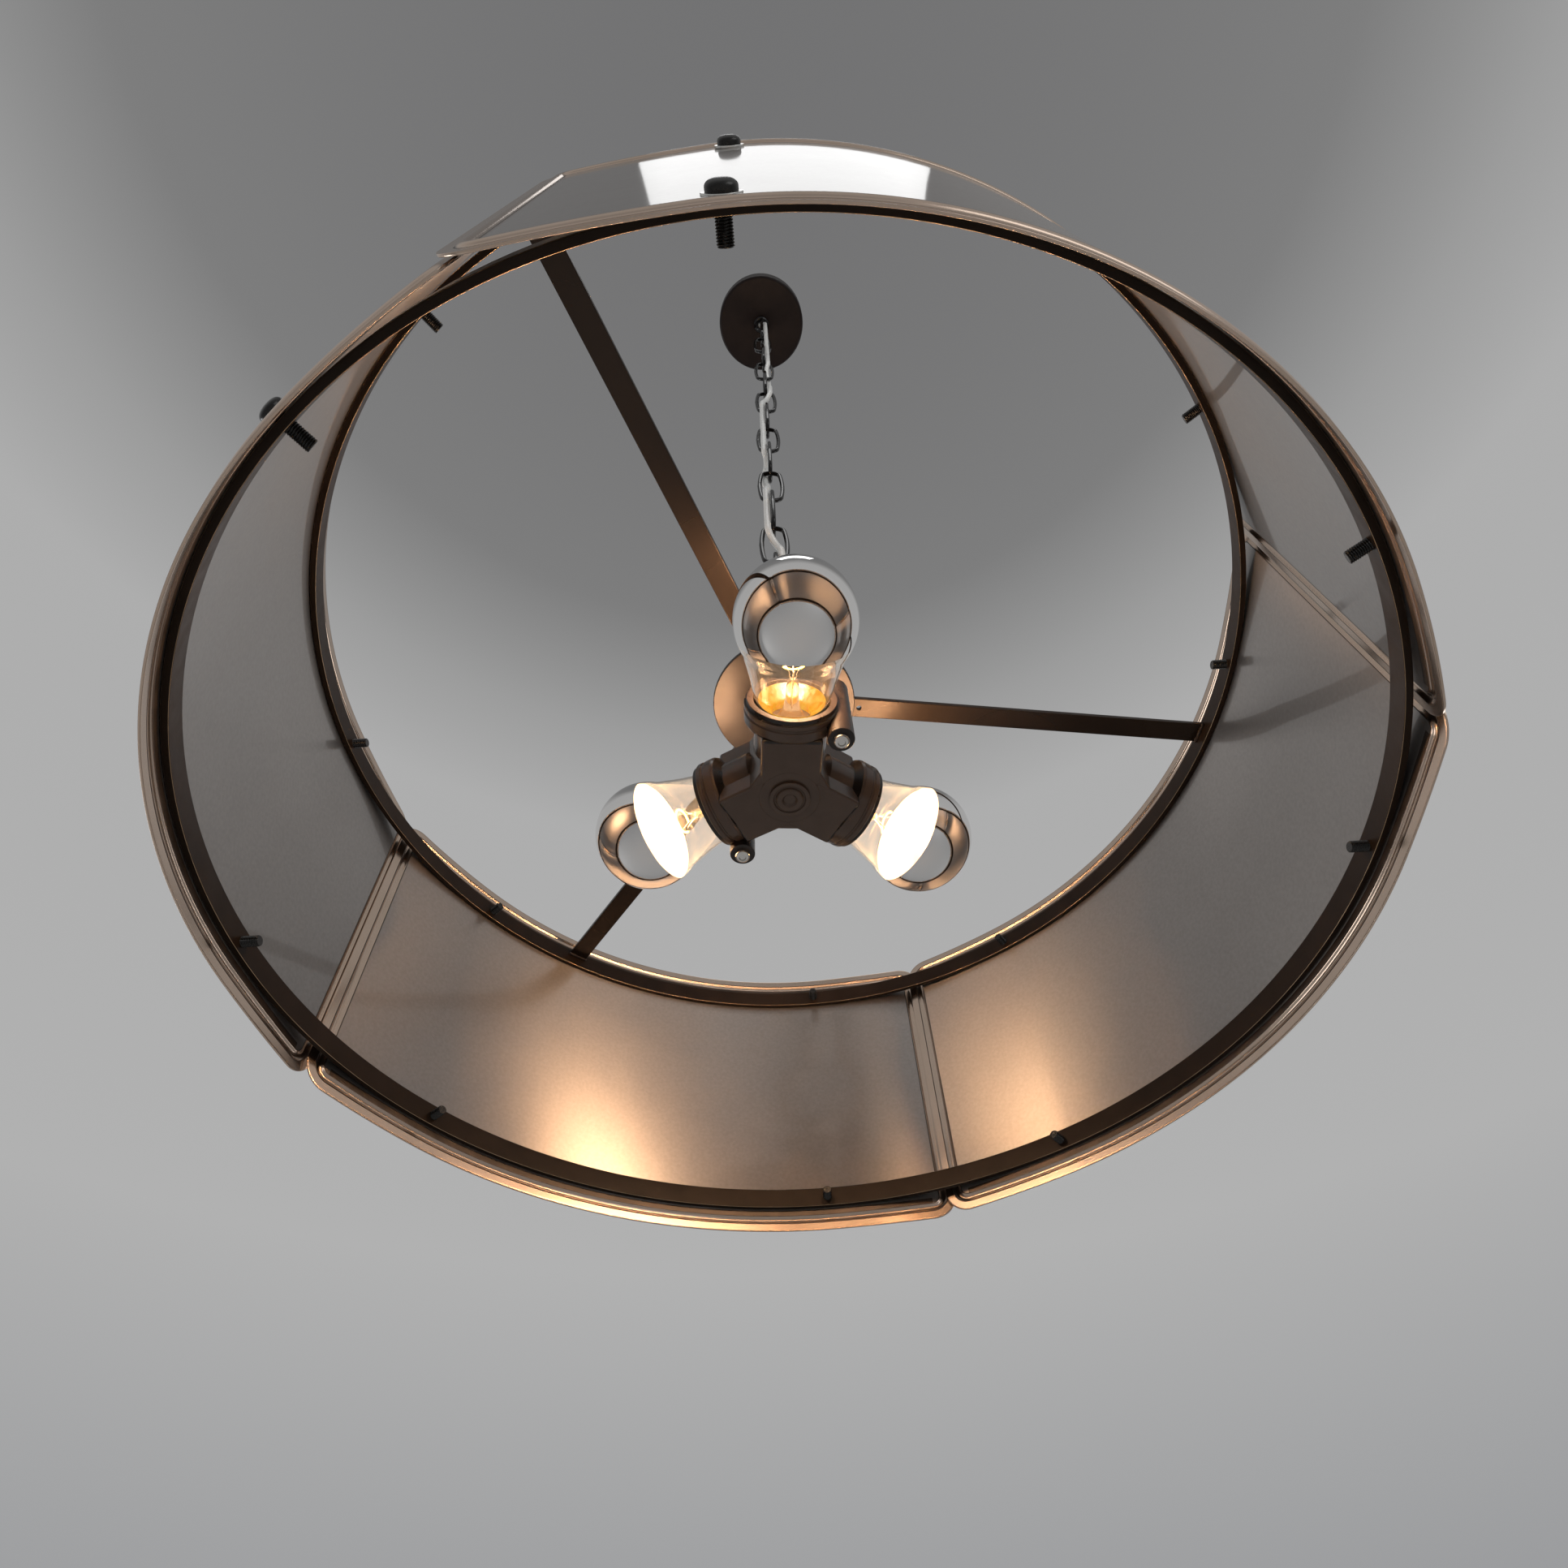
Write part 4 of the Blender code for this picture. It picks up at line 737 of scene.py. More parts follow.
def make_loop(node, base, way, turn, body):
    """Cast loop with a bored base and a bail of round bar. `way` is -1 for a bail that hangs down."""
    seat = NIPPLE_RADIUS + GAP
    back = -way * LOOP_BASE_HEIGHT
    stop = back / 2 + way * GAP
    profile = [(LOOP_BORE_RADIUS, 0), (LOOP_BASE_RADIUS * 0.86, 0), (LOOP_BASE_RADIUS, back * 0.3),
               (LOOP_BASE_RADIUS, back), (seat, back), (seat, stop), (LOOP_BORE_RADIUS, stop)]
    place = Matrix.Translation((0, 0, base)) @ Matrix.Rotation(turn, 4, "Z")
    bm = bmesh.new()
    add_lathe(bm, rounded(profile, 0.0006), 48, place)
    bend = []
    for step in range(BAIL_STEPS + 1):
        angle = pi - step * pi / BAIL_STEPS
        bend.append(Vector((LOOP_RADIUS * cos(angle), 0, way * (LOOP_LEG + LOOP_RADIUS * sin(angle)))))
    leg = [Vector((-LOOP_RADIUS, 0, back / 4)), Vector((-LOOP_RADIUS, 0, way * LOOP_LEG * 0.5))]
    other_leg = [Vector((-point.x, 0, point.z)) for point in reversed(leg)]
    add_sweep(bm, leg + bend + other_leg, WIRE / 2, 20, False, place)
    dressed(node, finish_mesh(bm, node + "_dressed"), black, body)


make_canopy()
make_loop("canopy_loop", CANOPY_LOOP_BASE, -1, 0.0, "ceiling_mount")
make_loop("hub_loop", HUB_LOOP_BASE, 1, pi / 2, "shade")


# Chain

def link_path():
    """Centre line of one long oval link with bowed sides, in its own plane."""
    bend = (LINK_WIDTH - WIRE) / 2
    straight = (LINK_LENGTH - LINK_WIDTH) / 2
    points = []
    for end in (1, -1):
        for step in range(LINK_BEND_STEPS + 1):
            angle = step * pi / LINK_BEND_STEPS
            points.append(Vector((end * bend * cos(angle), 0, end * (straight + bend * sin(angle)))))
        for step in range(1, LINK_SIDE_STEPS):
            share = 1 - 2 * step / LINK_SIDE_STEPS
            bow = LINK_BULGE * (1 - share * share)
            points.append(Vector((-end * (bend + bow), 0, end * share * straight)))
    return points


def make_links(body, numbers):
    """A body's links where they hang, each with the small seam where its wire was welded."""
    points = link_path()
    radii = [WIRE / 2] * len(points)
    radii[LINK_BEND_STEPS + LINK_SIDE_STEPS // 2] += LINK_SEAM
    bm = bmesh.new()
    for number in numbers:
        place = (Matrix.Translation((0, 0, interlock(number) + LINK_WIRES / 2))
                 @ Matrix.Rotation(pi / 2 if number % 2 == 1 else 0.0, 4, "Z"))
        add_sweep(bm, points, radii, 16, True, place)
    dressed(body, finish_mesh(bm, body + "_dressed"), black, body)


make_links("top_link", (1,))
make_links("chain", range(2, LINK_COUNT))
make_links("bottom_link", (LINK_COUNT,))


# Hub: neck, disc, stem and arms

def spool(radius, low, high, collar, waist):
    """Outline of a turned sleeve with a collar of that height at each end and a waist that much slimmer."""
    bore = NIPPLE_RADIUS + GAP
    slim = radius - waist
    return [(bore, low), (radius, low), (radius, low + collar), (slim, low + collar + SPOOL_SLOPE),
            (slim, high - collar - SPOOL_SLOPE), (radius, high - collar), (radius, high), (bore, high)]


def make_hub():
    """Turned pieces of the hub."""
    neck = spool(NECK_RADIUS, NECK_TOP - NECK_HEIGHT, NECK_TOP, 0.0040, 0.0009)
    disc = tube(NIPPLE_RADIUS + GAP, DISC_RADIUS, DISC_BOTTOM, DISC_TOP)
    stem = spool(STEM_RADIUS, CLUSTER_TOP + GAP, DISC_BOTTOM - GAP, 0.0030, 0.0012)
    for node, mesh, made in (("hub_neck", lathe("hub_neck_dressed", neck), bronze),
                             ("hub_disc", lathe("hub_disc_dressed", disc, 128, 0.0007), disc_bronze),
                             ("hub_stem", lathe("hub_stem_dressed", stem), bronze)):
        dressed(node, mesh, made, "shade")


def make_arms():
    """Flat bars on the disc, each with a hole beside it, welded to the upper ring's inner face."""
    low, high = DISC_TOP + GAP, DISC_TOP + GAP + BAR_THICKNESS
    end = RING_INNER_RADIUS - GAP
    for number in range(ARM_COUNT):
        node = "arm_%d" % (number + 1)
        angle = radians(ARM_ANGLE) + 2 * pi * number / ARM_COUNT
        place = Matrix.Rotation(angle, 4, "Z")
        bm = bmesh.new()
        add_block(bm, (ARM_INNER_RADIUS, -BAR_WIDTH / 2, low), (end, BAR_WIDTH / 2, high), place, BAR_EDGE)
        arm = dressed(node, finish_mesh(bm, node), arm_bronze, "shade")

        bm = bmesh.new()
        spot = Matrix.Translation((DISC_RADIUS + 2 * ARM_HOLE_RADIUS) * heading(angle))
        add_lathe(bm, tube(0, ARM_HOLE_RADIUS, low - DRILL_MARGIN, high + DRILL_MARGIN), 24, spot)
        cutter = add_object(node + "_hole", finish_mesh(bm, node + "_hole"))
        cutter.hide_render = True
        cutter.hide_viewport = True
        modifier = arm.modifiers.new("hole", "BOOLEAN")
        modifier.object = cutter
        modifier.operation = "DIFFERENCE"
        keep_flats(arm)

        bm = bmesh.new()
        spread = random.Random(number + 3)
        for step in range(WELD_BEADS):
            share = step / (WELD_BEADS - 1) - 0.5
            centre = Vector((end - 0.0006, share * WELD_LENGTH, low - 0.0001))
            made = bmesh.ops.create_icosphere(bm, subdivisions=2, radius=1.0)["verts"]
            size = WELD_BEAD_RADIUS * (0.85 + 0.3 * spread.random())
            bmesh.ops.transform(bm, verts=made, matrix=place @ Matrix.Translation(centre)
                                @ Matrix.Diagonal((size, size * 1.1, size, 1)))
        piece(node + "_weld", finish_mesh(bm, node + "_weld"), weld, "shade", ())


make_hub()
make_arms()


# Rings

def make_ring(node, height):
    """Flat bar rolled on edge, its rounded edges lighter: worn metal and a painted highlight."""
    bar = tube(RING_INNER_RADIUS, RING_OUTER_RADIUS, height, height + BAR_WIDTH)
    bm = bmesh.new()
    add_lathe(bm, rounded(bar, BAR_EDGE), RING_TURNS)
    bm.normal_update()
    for face in bm.faces:
        if WORN_HIGHLIGHT_SLOPE[0] < abs(face.normal.z) < WORN_HIGHLIGHT_SLOPE[1]:
            face.material_index = 1
    keep_flats(dressed(node, finish_mesh(bm, node + "_dressed"), [bronze, worn_highlight_edge], "shade"))


make_ring("lower_ring", LOWER_RING)
make_ring("upper_ring", UPPER_RING)


# Shade panels

def panel_lift(angle):
    """How far the sheet stands off its contact radius at an angle from the panel's centre line."""
    free = CONTACT_STEPS * RING_STEP
    end = PANEL_HALF_LENGTH / PANEL_RADIUS
    if abs(angle) <= free:
        return 0.0
    share = (abs(angle) - free) / (end - free)
    meeting = (2 * pi / PANEL_COUNT - end - free) / (end - free)
    over_lift = (UNDER_LIFT + SHEET + SEAM_CLEARANCE) / meeting ** 2
    return (over_lift if angle < 0 else UNDER_LIFT) * share ** 2


def sheet_point(angle):
    """A level point of the mid sheet at an angle from the panel's centre line."""
    return (PANEL_RADIUS + panel_lift(angle)) * heading(angle)


def panel_point(along, up, offset):
    """A point of a panel: distance along it from its centre line, height, distance off the mid sheet."""
    angle = along / PANEL_RADIUS
    small = RING_STEP / 50
    tangent = (sheet_point(angle + small) - sheet_point(angle - small)).normalized()
    normal = Vector((tangent.y, -tangent.x, 0))
    return sheet_point(angle) + offset * normal + Vector((0, 0, up))


def panel_outline(inset):
    """Rounded rectangle of (along, up) points at a distance inside the border."""
    corner_along = PANEL_HALF_LENGTH - CORNER_RADIUS
    corner_up = PANEL_HEIGHT / 2 - CORNER_RADIUS
    radius = CORNER_RADIUS - inset
    columns = [corner_along * (2 * k / PANEL_COLUMNS - 1) for k in range(1, PANEL_COLUMNS)]
    points = []
    for side in (1, -1):
        points += [(side * column, -side * (corner_up + radius)) for column in columns]
        for start, row in ((-pi / 2, -1), (0, 1)):
            for step in range(PANEL_CORNER_STEPS + 1):
                angle = start + step * pi / 2 / PANEL_CORNER_STEPS
                points.append((side * (corner_along + radius * cos(angle)),
                               side * (row * corner_up + radius * sin(angle))))
    return points


def border_steps():
    """(inset, raise) of the outlines from the sheet's edge over the bead to the end of the painted-shade
    strip.
    """
    steps = [(0.0, 0.0), (SHEET_SOFTENING, 0.0), (2 * CREASE, 0.0), (FLANGE - CREASE, 0.0)]
    for step in range(BEAD_STEPS + 1):
        share = step / BEAD_STEPS
        steps.append((FLANGE + share * BEAD_WIDTH, BEAD_HEIGHT * sin(pi * share) ** 0.8))
    return steps + [(FLANGE + BEAD_WIDTH + CREASE, 0.0), (PAINTED_SHADE_STRIP_END, 0.0)]


def panel_mesh():
    """A curved sheet with rounded corners and a pressed half-round bead along the border.

    Its finishes are the sheet, the border and the painted shade in the creases beside the bead. On the inner
    face the strip along the two long edges is painted dark as well: painted shadow and dark ring reflection.
    """
    steps = border_steps()
    outlines = [panel_outline(inset) for inset, _ in steps]
    count = len(outlines[0])
    creases = (3, len(steps) - 3)
    strip = len(steps) - 2
    long_edge = PANEL_HEIGHT / 2 - 1e-6
    bm = bmesh.new()
    layers = []
    for side in (-1, 1):
        layer = []
        for index, outline in enumerate(outlines):
            off = steps[index][1] + side * (SHEET / 2 - (SHEET_SOFTENING if index == 0 else 0))
            layer.append([bm.verts.new(panel_point(along, up, off)) for along, up in outline])
        layers.append(layer)
    for layer in layers:
        for row, (outer, inner) in enumerate(zip(layer, layer[1:])):
            for k in range(count):
                after = (k + 1) % count
                face = bm.faces.new([outer[k], outer[after], inner[after], inner[k]])
                # Painted shade in the crease rows; painted shadow and ring reflection on the inner face's
                # long-edge strip
                if row == strip:
                    on_long_edge = min(abs(outlines[0][k][1]), abs(outlines[0][after][1])) > long_edge
                    face.material_index = 2 if on_long_edge and layer is layers[0] else 0
                else:
                    face.material_index = 2 if row in creases else 1
        middle = layer[-1]
        order = sorted(range(count), key=lambda k: (round(outlines[-1][k][0] * 1e6), outlines[-1][k][1]))
        pairs = list(zip(order[::2], order[1::2]))
        for (low, high), (next_low, next_high) in zip(pairs, pairs[1:]):
            bm.faces.new([middle[low], middle[next_low], middle[next_high], middle[high]])
    skin(bm, [layers[0][0], layers[1][0]], material=1)
    return finish_mesh(bm, "panel", 50)


def make_panels():
    """Four sheets round the rings."""
    mesh = panel_mesh()
    for number in range(1, PANEL_COUNT + 1):
        centre = radians(SEAM_ANGLE) + (2 * number - 1) * pi / PANEL_COUNT
        place = Matrix.Translation((0, 0, PANEL_MIDDLE)) @ Matrix.Rotation(centre, 4, "Z")
        keep_flats(dressed("panel_%d" % number, mesh, [sheet_metal, border_painted_highlight_metal, painted_shade_bronze], "shade",
                           place))


make_panels()


def screw_frames(height):
    """Frames of the panel screws at one ring, on the ring's outer face, with Z pointing out."""
    frames = []
    for panel in range(PANEL_COUNT):
        centre = radians(SEAM_ANGLE) + (2 * panel + 1) * pi / PANEL_COUNT
        for side in (-1, 1):
            angle = side * radians(PANEL_SCREW_ANGLE)
            facet = (int(abs(angle) / RING_STEP) + 0.5) * RING_STEP * side
            face_distance = RING_OUTER_RADIUS * cos(RING_STEP / 2)
            along = face_distance * tan(angle - facet)
            normal = heading(centre + facet)
            sideways = heading(centre + facet + pi / 2)
            place = face_distance * normal + along * sideways + Vector((0, 0, height + BAR_WIDTH / 2))
            frames.append(aimed(place, normal))
    return frames


def screw_mesh():
    """Pan-head screw with a threaded shank and a captive washer."""
    low, high = 2 * GAP + SHEET, 2 * GAP + SHEET + WASHER_THICKNESS
    tip = -BAR_THICKNESS - PANEL_SCREW_TIP
    bm = bmesh.new()
    add_thread(bm, PANEL_SCREW_RADIUS, PANEL_SCREW_THREAD_DEPTH, SCREW_THREAD_PITCH, tip, low, 20, 6)
    add_lathe(bm, rounded(tube(0, WASHER_RADIUS, low, high), 0.0002), 40, material=1)
    head = dome(PANEL_SCREW_HEAD_RADIUS, 0.7, high + PANEL_SCREW_SKIRT,
                PANEL_SCREW_HEAD_HEIGHT - PANEL_SCREW_SKIRT, 90, 8)
    add_lathe(bm, [(0, high), (PANEL_SCREW_HEAD_RADIUS, high)] + head, 40)
    return finish_mesh(bm, "panel_screw", 45)


def make_screws():
    """Eight screws at each ring."""
    mesh = screw_mesh()
    for ring, height in (("lower", LOWER_RING), ("upper", UPPER_RING)):
        for number, place in enumerate(screw_frames(height), 1):
            dressed("panel_screw_%s_%d" % (ring, number), mesh, [screw_black, zinc], "shade",
                    place)


make_screws()


# Socket cluster

def socket_headings():
    """Angles of the sockets, in radians."""
    return [radians(SOCKET_ANGLE) + 2 * pi * k / SOCKET_COUNT for k in range(SOCKET_COUNT)]


def socket_frame(angle):
    """Frame of a socket, on the lamp's axis, with Z pointing out along the bulb."""
    return aimed((0, 0, SOCKET_AXIS), heading(angle))


def ear_places():
    """Centres of the two screw ears."""
    return [way * EAR_PLACE * heading(radians(EAR_ANGLE)) for way in (1, -1)]


def barrel_profile():
    """Outline of one socket's barrel with its grooved collar, rim and throat."""
    cut = COLLAR_RADIUS - COLLAR_CUT
    rim = COLLAR_RADIUS - RIM_STEP
    groove = COLLAR_START + GROOVE_START
    groove_floor = groove + COLLAR_SLOPE
    return [(SHELL_BORE_RADIUS, SOCKET_BACK), (BARREL_RADIUS - BARREL_BACK_STEP, SOCKET_BACK),
            (BARREL_RADIUS, SOCKET_BACK + BARREL_BACK_STEP), (BARREL_RADIUS, COLLAR_START - BARREL_STEP),
            (cut, COLLAR_START - COLLAR_CUT), (COLLAR_RADIUS, COLLAR_START + COLLAR_SLOPE),
            (COLLAR_RADIUS, groove), (cut, groove_floor), (cut, groove_floor + GROOVE_WIDTH),
            (COLLAR_RADIUS, groove_floor + GROOVE_WIDTH + COLLAR_SLOPE),
            (COLLAR_RADIUS, MOUTH - RIM_LENGTH), (rim, MOUTH - RIM_LENGTH), (rim, MOUTH),
            (THROAT_RADIUS, MOUTH), (THROAT_RADIUS, THROAT_START), (SHELL_BORE_RADIUS, SHELL_BORE_END)]


def make_moulding():
    """Moulded body with three barrels, ribs and webs between them, and two screw ears."""
    bm = bmesh.new()
    low, high, edge = CLUSTER_BOTTOM, CLUSTER_TOP, CLUSTER_EDGE
    body = [(WIRE_WELL_RADIUS, low), (CLUSTER_RADIUS - edge, low), (CLUSTER_RADIUS, low + edge),
            (CLUSTER_RADIUS, high - edge), (CLUSTER_RADIUS - edge, high), (WIRE_WELL_RADIUS, high)]
    add_lathe(bm, rounded(body, 0.001, 5), 96)
    start = WIRE_WELL_RADIUS + GAP
    for angle in socket_headings():
        add_block(bm, (start, -RIB_WIDTH / 2, low + GAP), (COLLAR_START + GAP, RIB_WIDTH / 2, high - GAP),
                  Matrix.Rotation(angle, 4, "Z"), 0.0016)
        add_block(bm, (start, -WEB_WIDTH / 2, low + 2 * GAP), (WEB_PLACE, WEB_WIDTH / 2, high - 2 * GAP),
                  Matrix.Rotation(angle + pi / SOCKET_COUNT, 4, "Z"), 0.0012)
    for angle in socket_headings():
        add_lathe(bm, rounded(barrel_profile(), 0.0006), 96, socket_frame(angle))
    ear = tube(EAR_SCREW_RADIUS + GAP, EAR_RADIUS, SOCKET_AXIS - COLLAR_RADIUS, SOCKET_AXIS + COLLAR_RADIUS)
    for place in ear_places():
        add_lathe(bm, rounded(ear, 0.0007), 48, Matrix.Translation(place))
    # Painted shade on the throat and rim of each socket
    for angle in socket_headings():
        from_socket = socket_frame(angle).inverted()
        for face in bm.faces:
            centre = from_socket @ face.calc_center_median()
            inside = centre.z > SHELL_BORE_END and Vector(centre[:2]).length < COLLAR_RADIUS - RIM_STEP - GAP
            if inside or centre.z > MOUTH - RIM_LENGTH - GAP:
                face.material_index = 1
    # Painted shade on the screw ears
    for face in bm.faces:
        if min((face.calc_center_median() - place).xy.length for place in ear_places()) < EAR_RADIUS + GAP:
            face.material_index = 1
    keep_flats(piece("cluster_body", finish_mesh(bm, "cluster_body", 30), [phenolic, painted_shade_moulding], "shade",
                     ("socket_cluster",)))


def make_plug():
    """Stepped plug in the cluster's underside."""
    well = WIRE_WELL_RADIUS - GAP
    top = CLUSTER_BOTTOM - GAP
    low, boss = top - PLUG_FLANGE_HEIGHT, top - PLUG_BOSS_HEIGHT
    profile = [(0, low + 0.0006), (0.0030, low + 0.0006), (0.0042, boss), (well - 0.0006, boss),
               (well, low - 0.0002), (well + 0.0002, low + 0.0008), (well + 0.0010, low + 0.0008),
               (well + 0.0014, low), (PLUG_FLANGE_RADIUS, low), (PLUG_FLANGE_RADIUS, top), (well, top),
               (well, top + PLUG_DEPTH), (0, top + PLUG_DEPTH)]
    piece("plug_dressed", lathe("plug_dressed", profile), phenolic, "shade", ("cluster_plug",))


def make_ear_screws():
    """Round-head screws up through the two ears, with a dimple in the head."""
    bm = bmesh.new()
    add_thread(bm, EAR_SCREW_RADIUS, EAR_SCREW_THREAD_DEPTH, SCREW_THREAD_PITCH, 0, 2 * COLLAR_RADIUS, 16, 4)
    head = dome(EAR_SCREW_HEAD_RADIUS, 0.6, -EAR_SCREW_SKIRT, EAR_SCREW_SKIRT - EAR_SCREW_HEAD_HEIGHT, 60, 6)
    low = -EAR_SCREW_HEAD_HEIGHT
    dimple = [(0.0021, low), (0.0017, low + 0.0009), (0.0006, low + 0.0012), (0, low + 0.0010)]
    add_lathe(bm, [(0, 0), (EAR_SCREW_HEAD_RADIUS, 0)] + head + dimple, 40)
    mesh = finish_mesh(bm, "ear_screw", 45)
    under = Vector((0, 0, SOCKET_AXIS - COLLAR_RADIUS - GAP))
    for number, place in enumerate(ear_places(), 1):
        dressed("ear_screw_%d" % number, mesh, zinc, "shade", Matrix.Translation(place + under))


def make_shells():
    """Brass screw shells in the barrels."""
    low, high = SOCKET_BACK + GAP, SOCKET_BACK + SHELL_LENGTH
    outer = SHELL_BORE_RADIUS - GAP
    bm = bmesh.new()
    for radius in (outer, outer - SHELL_WALL):
        add_thread(bm, radius, SHELL_THREAD_DEPTH, THREAD_PITCH, low, high, 48, 10, round_form=True,
                   caps=False)
    mesh = finish_mesh(bm, "socket_shell", 60)
    for number, angle in enumerate(socket_headings(), 1):
        dressed("socket_shell_%d" % number, mesh, brass, "shade", socket_frame(angle))


make_moulding()
make_plug()
make_ear_screws()
make_shells()


# Bulbs. Their outlines are (radius, distance from the contact), in the bulb's own frame.

BULB_LIGHT_COLOUR = (1.0, 0.61, 0.34)
BULB_ENERGY = 1.25
BULB_LIGHT_RADIUS = 0.010
NECK_OVER_SCREW = (0.0155, 0.0300)
STEM_FLARE = ((NECK_INSIDE, NECK_START), (0.0078, 0.0235), (0.0048, 0.029), (0.0036, 0.036), (0.0033, 0.041))
STEM_TOP = [(0.0030, MOUNT_TOP - 0.0030), (0.0016, MOUNT_TOP - 0.0006), (0, MOUNT_TOP)]
# The stem wires: distance off the bulb's axis and height of their points, radius, sides and direction
LEADS = (((0.0016, 0.030), (0.0018, 0.046), (0.0045, 0.0515), (FILAMENT_HALF_WIDTH, 0.0545)), 0.00028, 8,
         Vector((1, 0, 0)))
SUPPORTS = (((0.0008, 0.046), (0.0030, 0.0515), (0.0058, 0.0560)), 0.00018, 6, Vector((0, 1, 0)))


def bulb_profile():
    """Smooth outline of the glass from the base to the crown's pole."""
    shoulder = radians(BULB_SHOULDER_ANGLE)
    start = Vector((BULB_NECK_SHARE * BULB_RADIUS, MOUTH - BULB_SEAT))
    ball = Vector((BULB_RADIUS * cos(shoulder), MIRROR_BALL + BULB_RADIUS * sin(shoulder)))
    middle = (start + ball) / 2
    neck = [(NECK_IN_SCREW, NECK_START), (NECK_IN_SCREW, NECK_BEND), NECK_OVER_SCREW, start,
            (BULB_NECK_BOW_SHARE * middle.x, middle.y), ball]
    points = smooth_line(neck, 6)[:-1]
    for step in range(BULB_SHOULDER_ANGLE, 90, 4):
        angle = radians(step)
        points.append((BULB_RADIUS * cos(angle), MIRROR_BALL + BULB_RADIUS * sin(angle)))
    return points + [(0, BULB_LENGTH)]


def inward(profile, depth):
    """An outline that ends on the axis, moved towards the inside of the glass."""
    made = []
    for index, here in enumerate(profile):
        before = Vector(profile[max(index - 1, 0)])
        after = Vector(profile[min(index + 1, len(profile) - 1)])
        along = (after - before).normalized()
        made.append((here[0] - depth * along.y, here[1] + depth * along.x))
    made[-1] = (0, profile[-1][1] - depth)
    return made


def neck_mesh(outer, inner):
    """Clear glass from the screw cap to the edge of the mirror."""
    bm = bmesh.new()
    add_lathe(bm, outer + inner[::-1], 96)
    return finish_mesh(bm, "bulb_neck", 50)


def crown_mesh(outer, inner):
    """Silvered half, with the painted glow of its lit inside."""
    bm = bmesh.new()
    add_lathe(bm, outer, 96, open_ends=True)
    add_lathe(bm, inner, 96, open_ends=True, material=1)
    return finish_mesh(bm, "bulb_crown", 50)


def cap_mesh(outer):
    """Threaded cap with a collar on the glass, and the bowl inside it with a painted amber glow."""
    low, high = BULB_SCREW_START, BULB_SCREW_END
    root, sleeve = BULB_SCREW_RADIUS - BULB_THREAD_DEPTH, NECK_IN_SCREW + GAP
    bm = bmesh.new()
    add_thread(bm, BULB_SCREW_RADIUS, BULB_THREAD_DEPTH, THREAD_PITCH, low + CAP_SHOULDER, high - CAP_COLLAR,
               64, 12, round_form=True, caps=False)
    add_lathe(bm, [(root, high - CAP_COLLAR), (root + 0.0005, high - 0.0026), (root + 0.0005, high),
                   (sleeve, high), (sleeve, NECK_START)], 64, open_ends=True)
    bowl = [(x, y) for x, y in inward(outer, BULB_GLASS + GAP) if NECK_BEND < y < MOUTH - BULB_SEAT - 0.0005]
    add_lathe(bm, bowl[::-1] + [(NECK_INSIDE, NECK_START + GAP), (0, NECK_START + GAP)], 64,
              open_ends=True, material=1)
    add_lathe(bm, [(INSULATOR_RADIUS + GAP, low), (root, low + CAP_SHOULDER)], 64, open_ends=True)
    bmesh.ops.remove_doubles(bm, verts=bm.verts, dist=1e-5)
    return finish_mesh(bm, "bulb_cap", 50)


def stem_mesh():
    """Flared glass stem that carries the wires."""
    bm = bmesh.new()
    add_lathe(bm, smooth_line(STEM_FLARE, 5) + STEM_TOP, 48, open_ends=True)
    return finish_mesh(bm, "bulb_stem", 60)


def lead_mesh():
    """Two wires to the filament's ends and two that hold it up."""
    bm = bmesh.new()
    for points, radius, sides, direction in (LEADS, SUPPORTS):
        for way in (-1, 1):
            line = [way * off * direction + Vector((0, 0, height)) for off, height in points]
            add_sweep(bm, smooth_line(line, 6), radius, sides)
    return finish_mesh(bm, "bulb_leads", 60)


def filament_mesh():
    """Fine coil bent round the stem."""
    coil = []
    for step in range(COIL_TURNS * COIL_STEPS + 1):
        share = step / (COIL_TURNS * COIL_STEPS)
        sweep = radians(FILAMENT_SWEEP * (share - 0.5))
        centre = Vector((FILAMENT_HALF_WIDTH * sin(sweep), FILAMENT_HALF_DEPTH * cos(sweep),
                         FILAMENT_HEIGHT + FILAMENT_RISE * sin(pi * share)))
        outward = Vector((sin(sweep), cos(sweep), 0))
        turn = 2 * pi * COIL_TURNS * share
        coil.append(centre + COIL_RADIUS * (cos(turn) * outward + sin(turn) * Vector((0, 0, 1))))
    bm = bmesh.new()
    add_sweep(bm, coil, COIL_WIRE_RADIUS, 5)
    return finish_mesh(bm, "bulb_filament", 80)


def tip_mesh():
    """Centre contact in its black insulator."""
    rim, back = BULB_SCREW_START, BULB_SCREW_START + BULB_SCREW_WALL
    edge = (TIP_RADIUS, TIP_HEIGHT)
    bm = bmesh.new()
    add_lathe(bm, [(0, 0), (TIP_RADIUS * 0.7, 0.0001), (TIP_RADIUS, TIP_HEIGHT * 0.7), edge], 48,
              open_ends=True)
    add_lathe(bm, [edge, (INSULATOR_RADIUS - 0.001, rim - 0.0006), (INSULATOR_RADIUS, rim),
                   (INSULATOR_RADIUS, back), (0, back)], 48, open_ends=True, material=1)
    bmesh.ops.remove_doubles(bm, verts=bm.verts, dist=1e-6)
    return finish_mesh(bm, "bulb_tip")


def add_bulb_light(name, place):
    """The lamp that stands for the filament."""
    data = bpy.data.lights.new(name + "_light", "POINT")
    data.color = BULB_LIGHT_COLOUR
    data.energy = BULB_ENERGY
    data.shadow_soft_size = BULB_LIGHT_RADIUS
    light = add_object(name + "_light", data)
    light.matrix_world = place @ Matrix.Translation((0, 0, FILAMENT_HEIGHT))
    light.visible_camera = False
    light.visible_transmission = False
    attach(light, name)


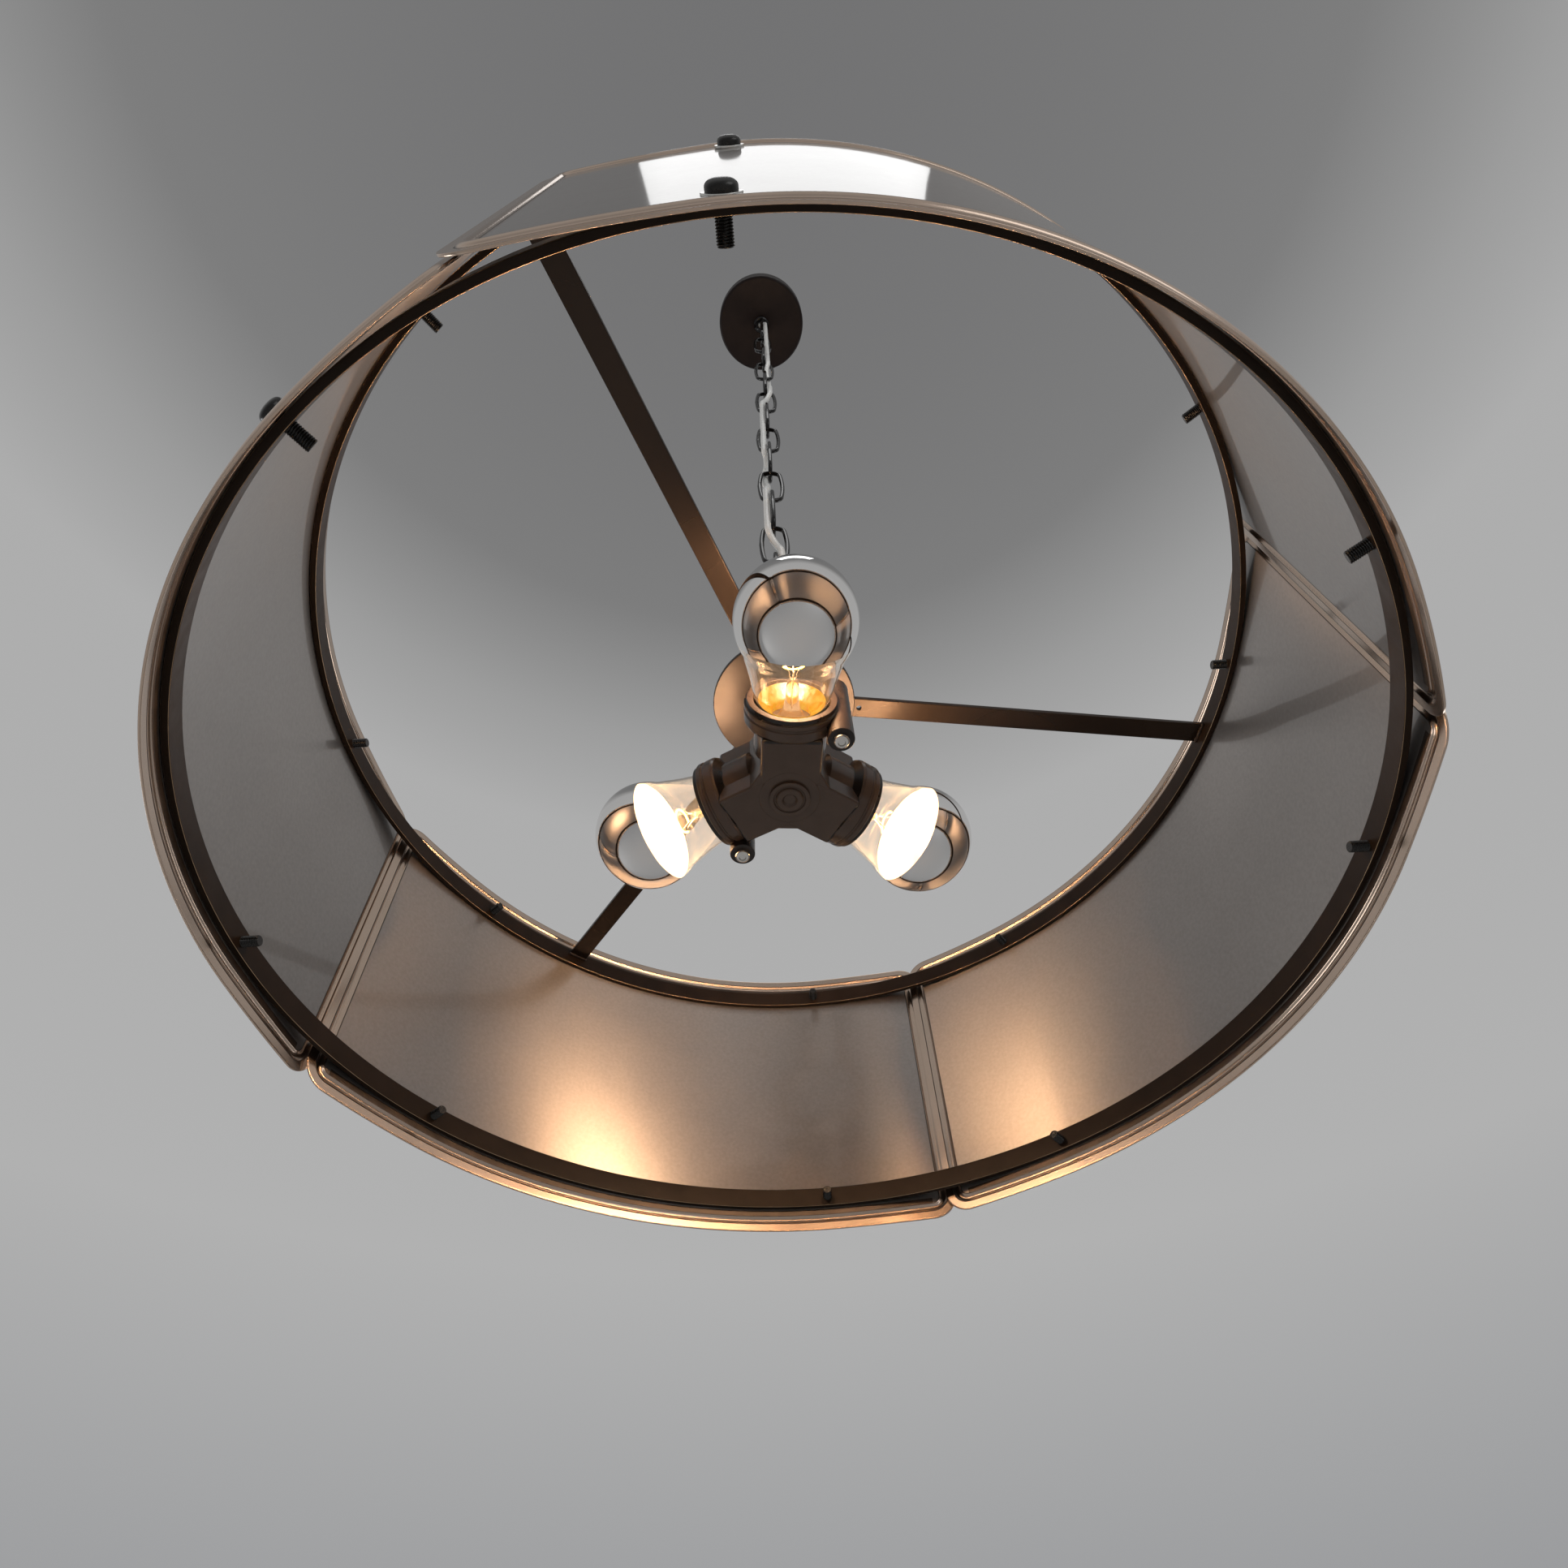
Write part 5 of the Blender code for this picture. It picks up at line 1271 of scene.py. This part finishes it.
def make_bulbs():
    """Half-mirror bulbs: clear neck, silvered crown, stem with filament, threaded cap and contact."""
    outer = bulb_profile()
    inner = inward(outer, BULB_GLASS)
    cut = next(k for k, (_, height) in enumerate(outer) if height > MIRROR_EDGE)
    # Of each piece: end of its name, mesh, finishes, ends of its body's and its CAD node's names, slot
    rows = (("_neck_glass", neck_mesh(outer[:cut + 1], inner[:cut + 1]), glass, "", "_glass", "bulb_glass"),
            ("_crown", crown_mesh(outer[cut:], inner[cut:]), [mirror, glow_inside], "", "", "bulb_glass"),
            ("_cap", cap_mesh(outer), [nickel, painted_amber_glow], "", "_base", "nickel"),
            ("_stem", stem_mesh(), stem_glass, "", "", "bulb_glass"),
            ("_leads", lead_mesh(), nickel, "", "", "nickel"),
            ("_filament", filament_mesh(), filament_finish, "", "", "bulb_glass"),
            ("_contact", tip_mesh(), [brass, insulator], "_contact", "_tip", "brass"))
    for number, angle in enumerate(socket_headings(), 1):
        bulb = "bulb_%d" % number
        place = socket_frame(angle) @ Matrix.Translation((0, 0, BULB_SEAT))
        for end, mesh, finishes, body, node, slot in rows:
            made = piece(bulb + end, mesh, finishes, bulb + body, (bulb + node,) if node else (), place)
            made.visible_shadow = end not in ("_neck_glass", "_stem", "_filament")
            made.visible_diffuse = end != "_filament"
        add_bulb_light(bulb, place)


make_bulbs()


# Surroundings

FLOOR_HEIGHT = -2.45
FLOOR_RADIUS = 7.0
FLOOR_COLOUR = (0.64, 0.64, 0.64)
# The sky's colours from straight down to straight up, as (place from 0 to 1, colour)
SKY = ((0.15, (0.32, 0.325, 0.335)), (1.0, (0.17, 0.17, 0.172)), (0.45, (0.44, 0.44, 0.44)),
       (0.78, (0.42, 0.42, 0.42)), (0.84, (0.33, 0.33, 0.33)), (0.9, (0.205, 0.205, 0.205)))
# The soft lamps: name, place, what it points at, width and length, power
LAMPS = (("overhead", (0.04, -0.42, 0.25), (0.04, -0.42, -1.15), (0.5, 0.3), 0.8),
         ("side", (-2.4, 1.3, -1.1), (0, 0, -1.0), (1.2, 1.2), 18.0),
         ("front", (1.6, -2.5, -1.2), (0, 0, -1.0), (1.6, 1.6), 12.0),
         ("back", (2.3, 1.9, -0.9), (0, 0, -1.0), (1.2, 1.2), 10.0))


def make_floor():
    """Plain pale floor far below the lamp."""
    bm = bmesh.new()
    bmesh.ops.create_circle(bm, cap_ends=True, segments=96, radius=FLOOR_RADIUS)
    floor = piece("floor", finish_mesh(bm, "floor"), finish("floor", FLOOR_COLOUR, 0.8, 0.0), None, (),
                  Matrix.Translation((0, 0, FLOOR_HEIGHT)))


def make_sky():
    """Plain background, brightest a little above the horizon and darker overhead."""
    world = bpy.data.worlds.new("world")
    bpy.context.scene.world = world
    world.use_nodes = True
    tree = world.node_tree
    place = add_node(tree, "TexCoord").outputs["Generated"]
    ramp = add_node(tree, "ValToRGB", Fac=add_node(tree, "SeparateXYZ", Vector=place).outputs["Z"])
    tree.links.new(ramp.outputs["Color"], tree.nodes["Background"].inputs["Color"])
    steps = ramp.color_ramp.elements
    for index, (position, colour) in enumerate(SKY):
        step = steps[index] if index < 2 else steps.new(position)
        step.position = position
        step.color = (*colour, 1)


def make_lamps():
    """Soft area lamps that the camera doesn't see."""
    for name, place, aim, size, energy in LAMPS:
        data = bpy.data.lights.new(name, "AREA")
        data.shape = "RECTANGLE"
        data.size, data.size_y = size
        data.energy = energy
        light = add_object(name, data)
        back = Vector(place) - Vector(aim)
        light.matrix_world = Matrix.Translation(place) @ back.to_track_quat("Z", "Y").to_matrix().to_4x4()
        light.visible_camera = False


make_floor()
make_sky()
make_lamps()
bpy.context.scene.view_settings.view_transform = "Standard"
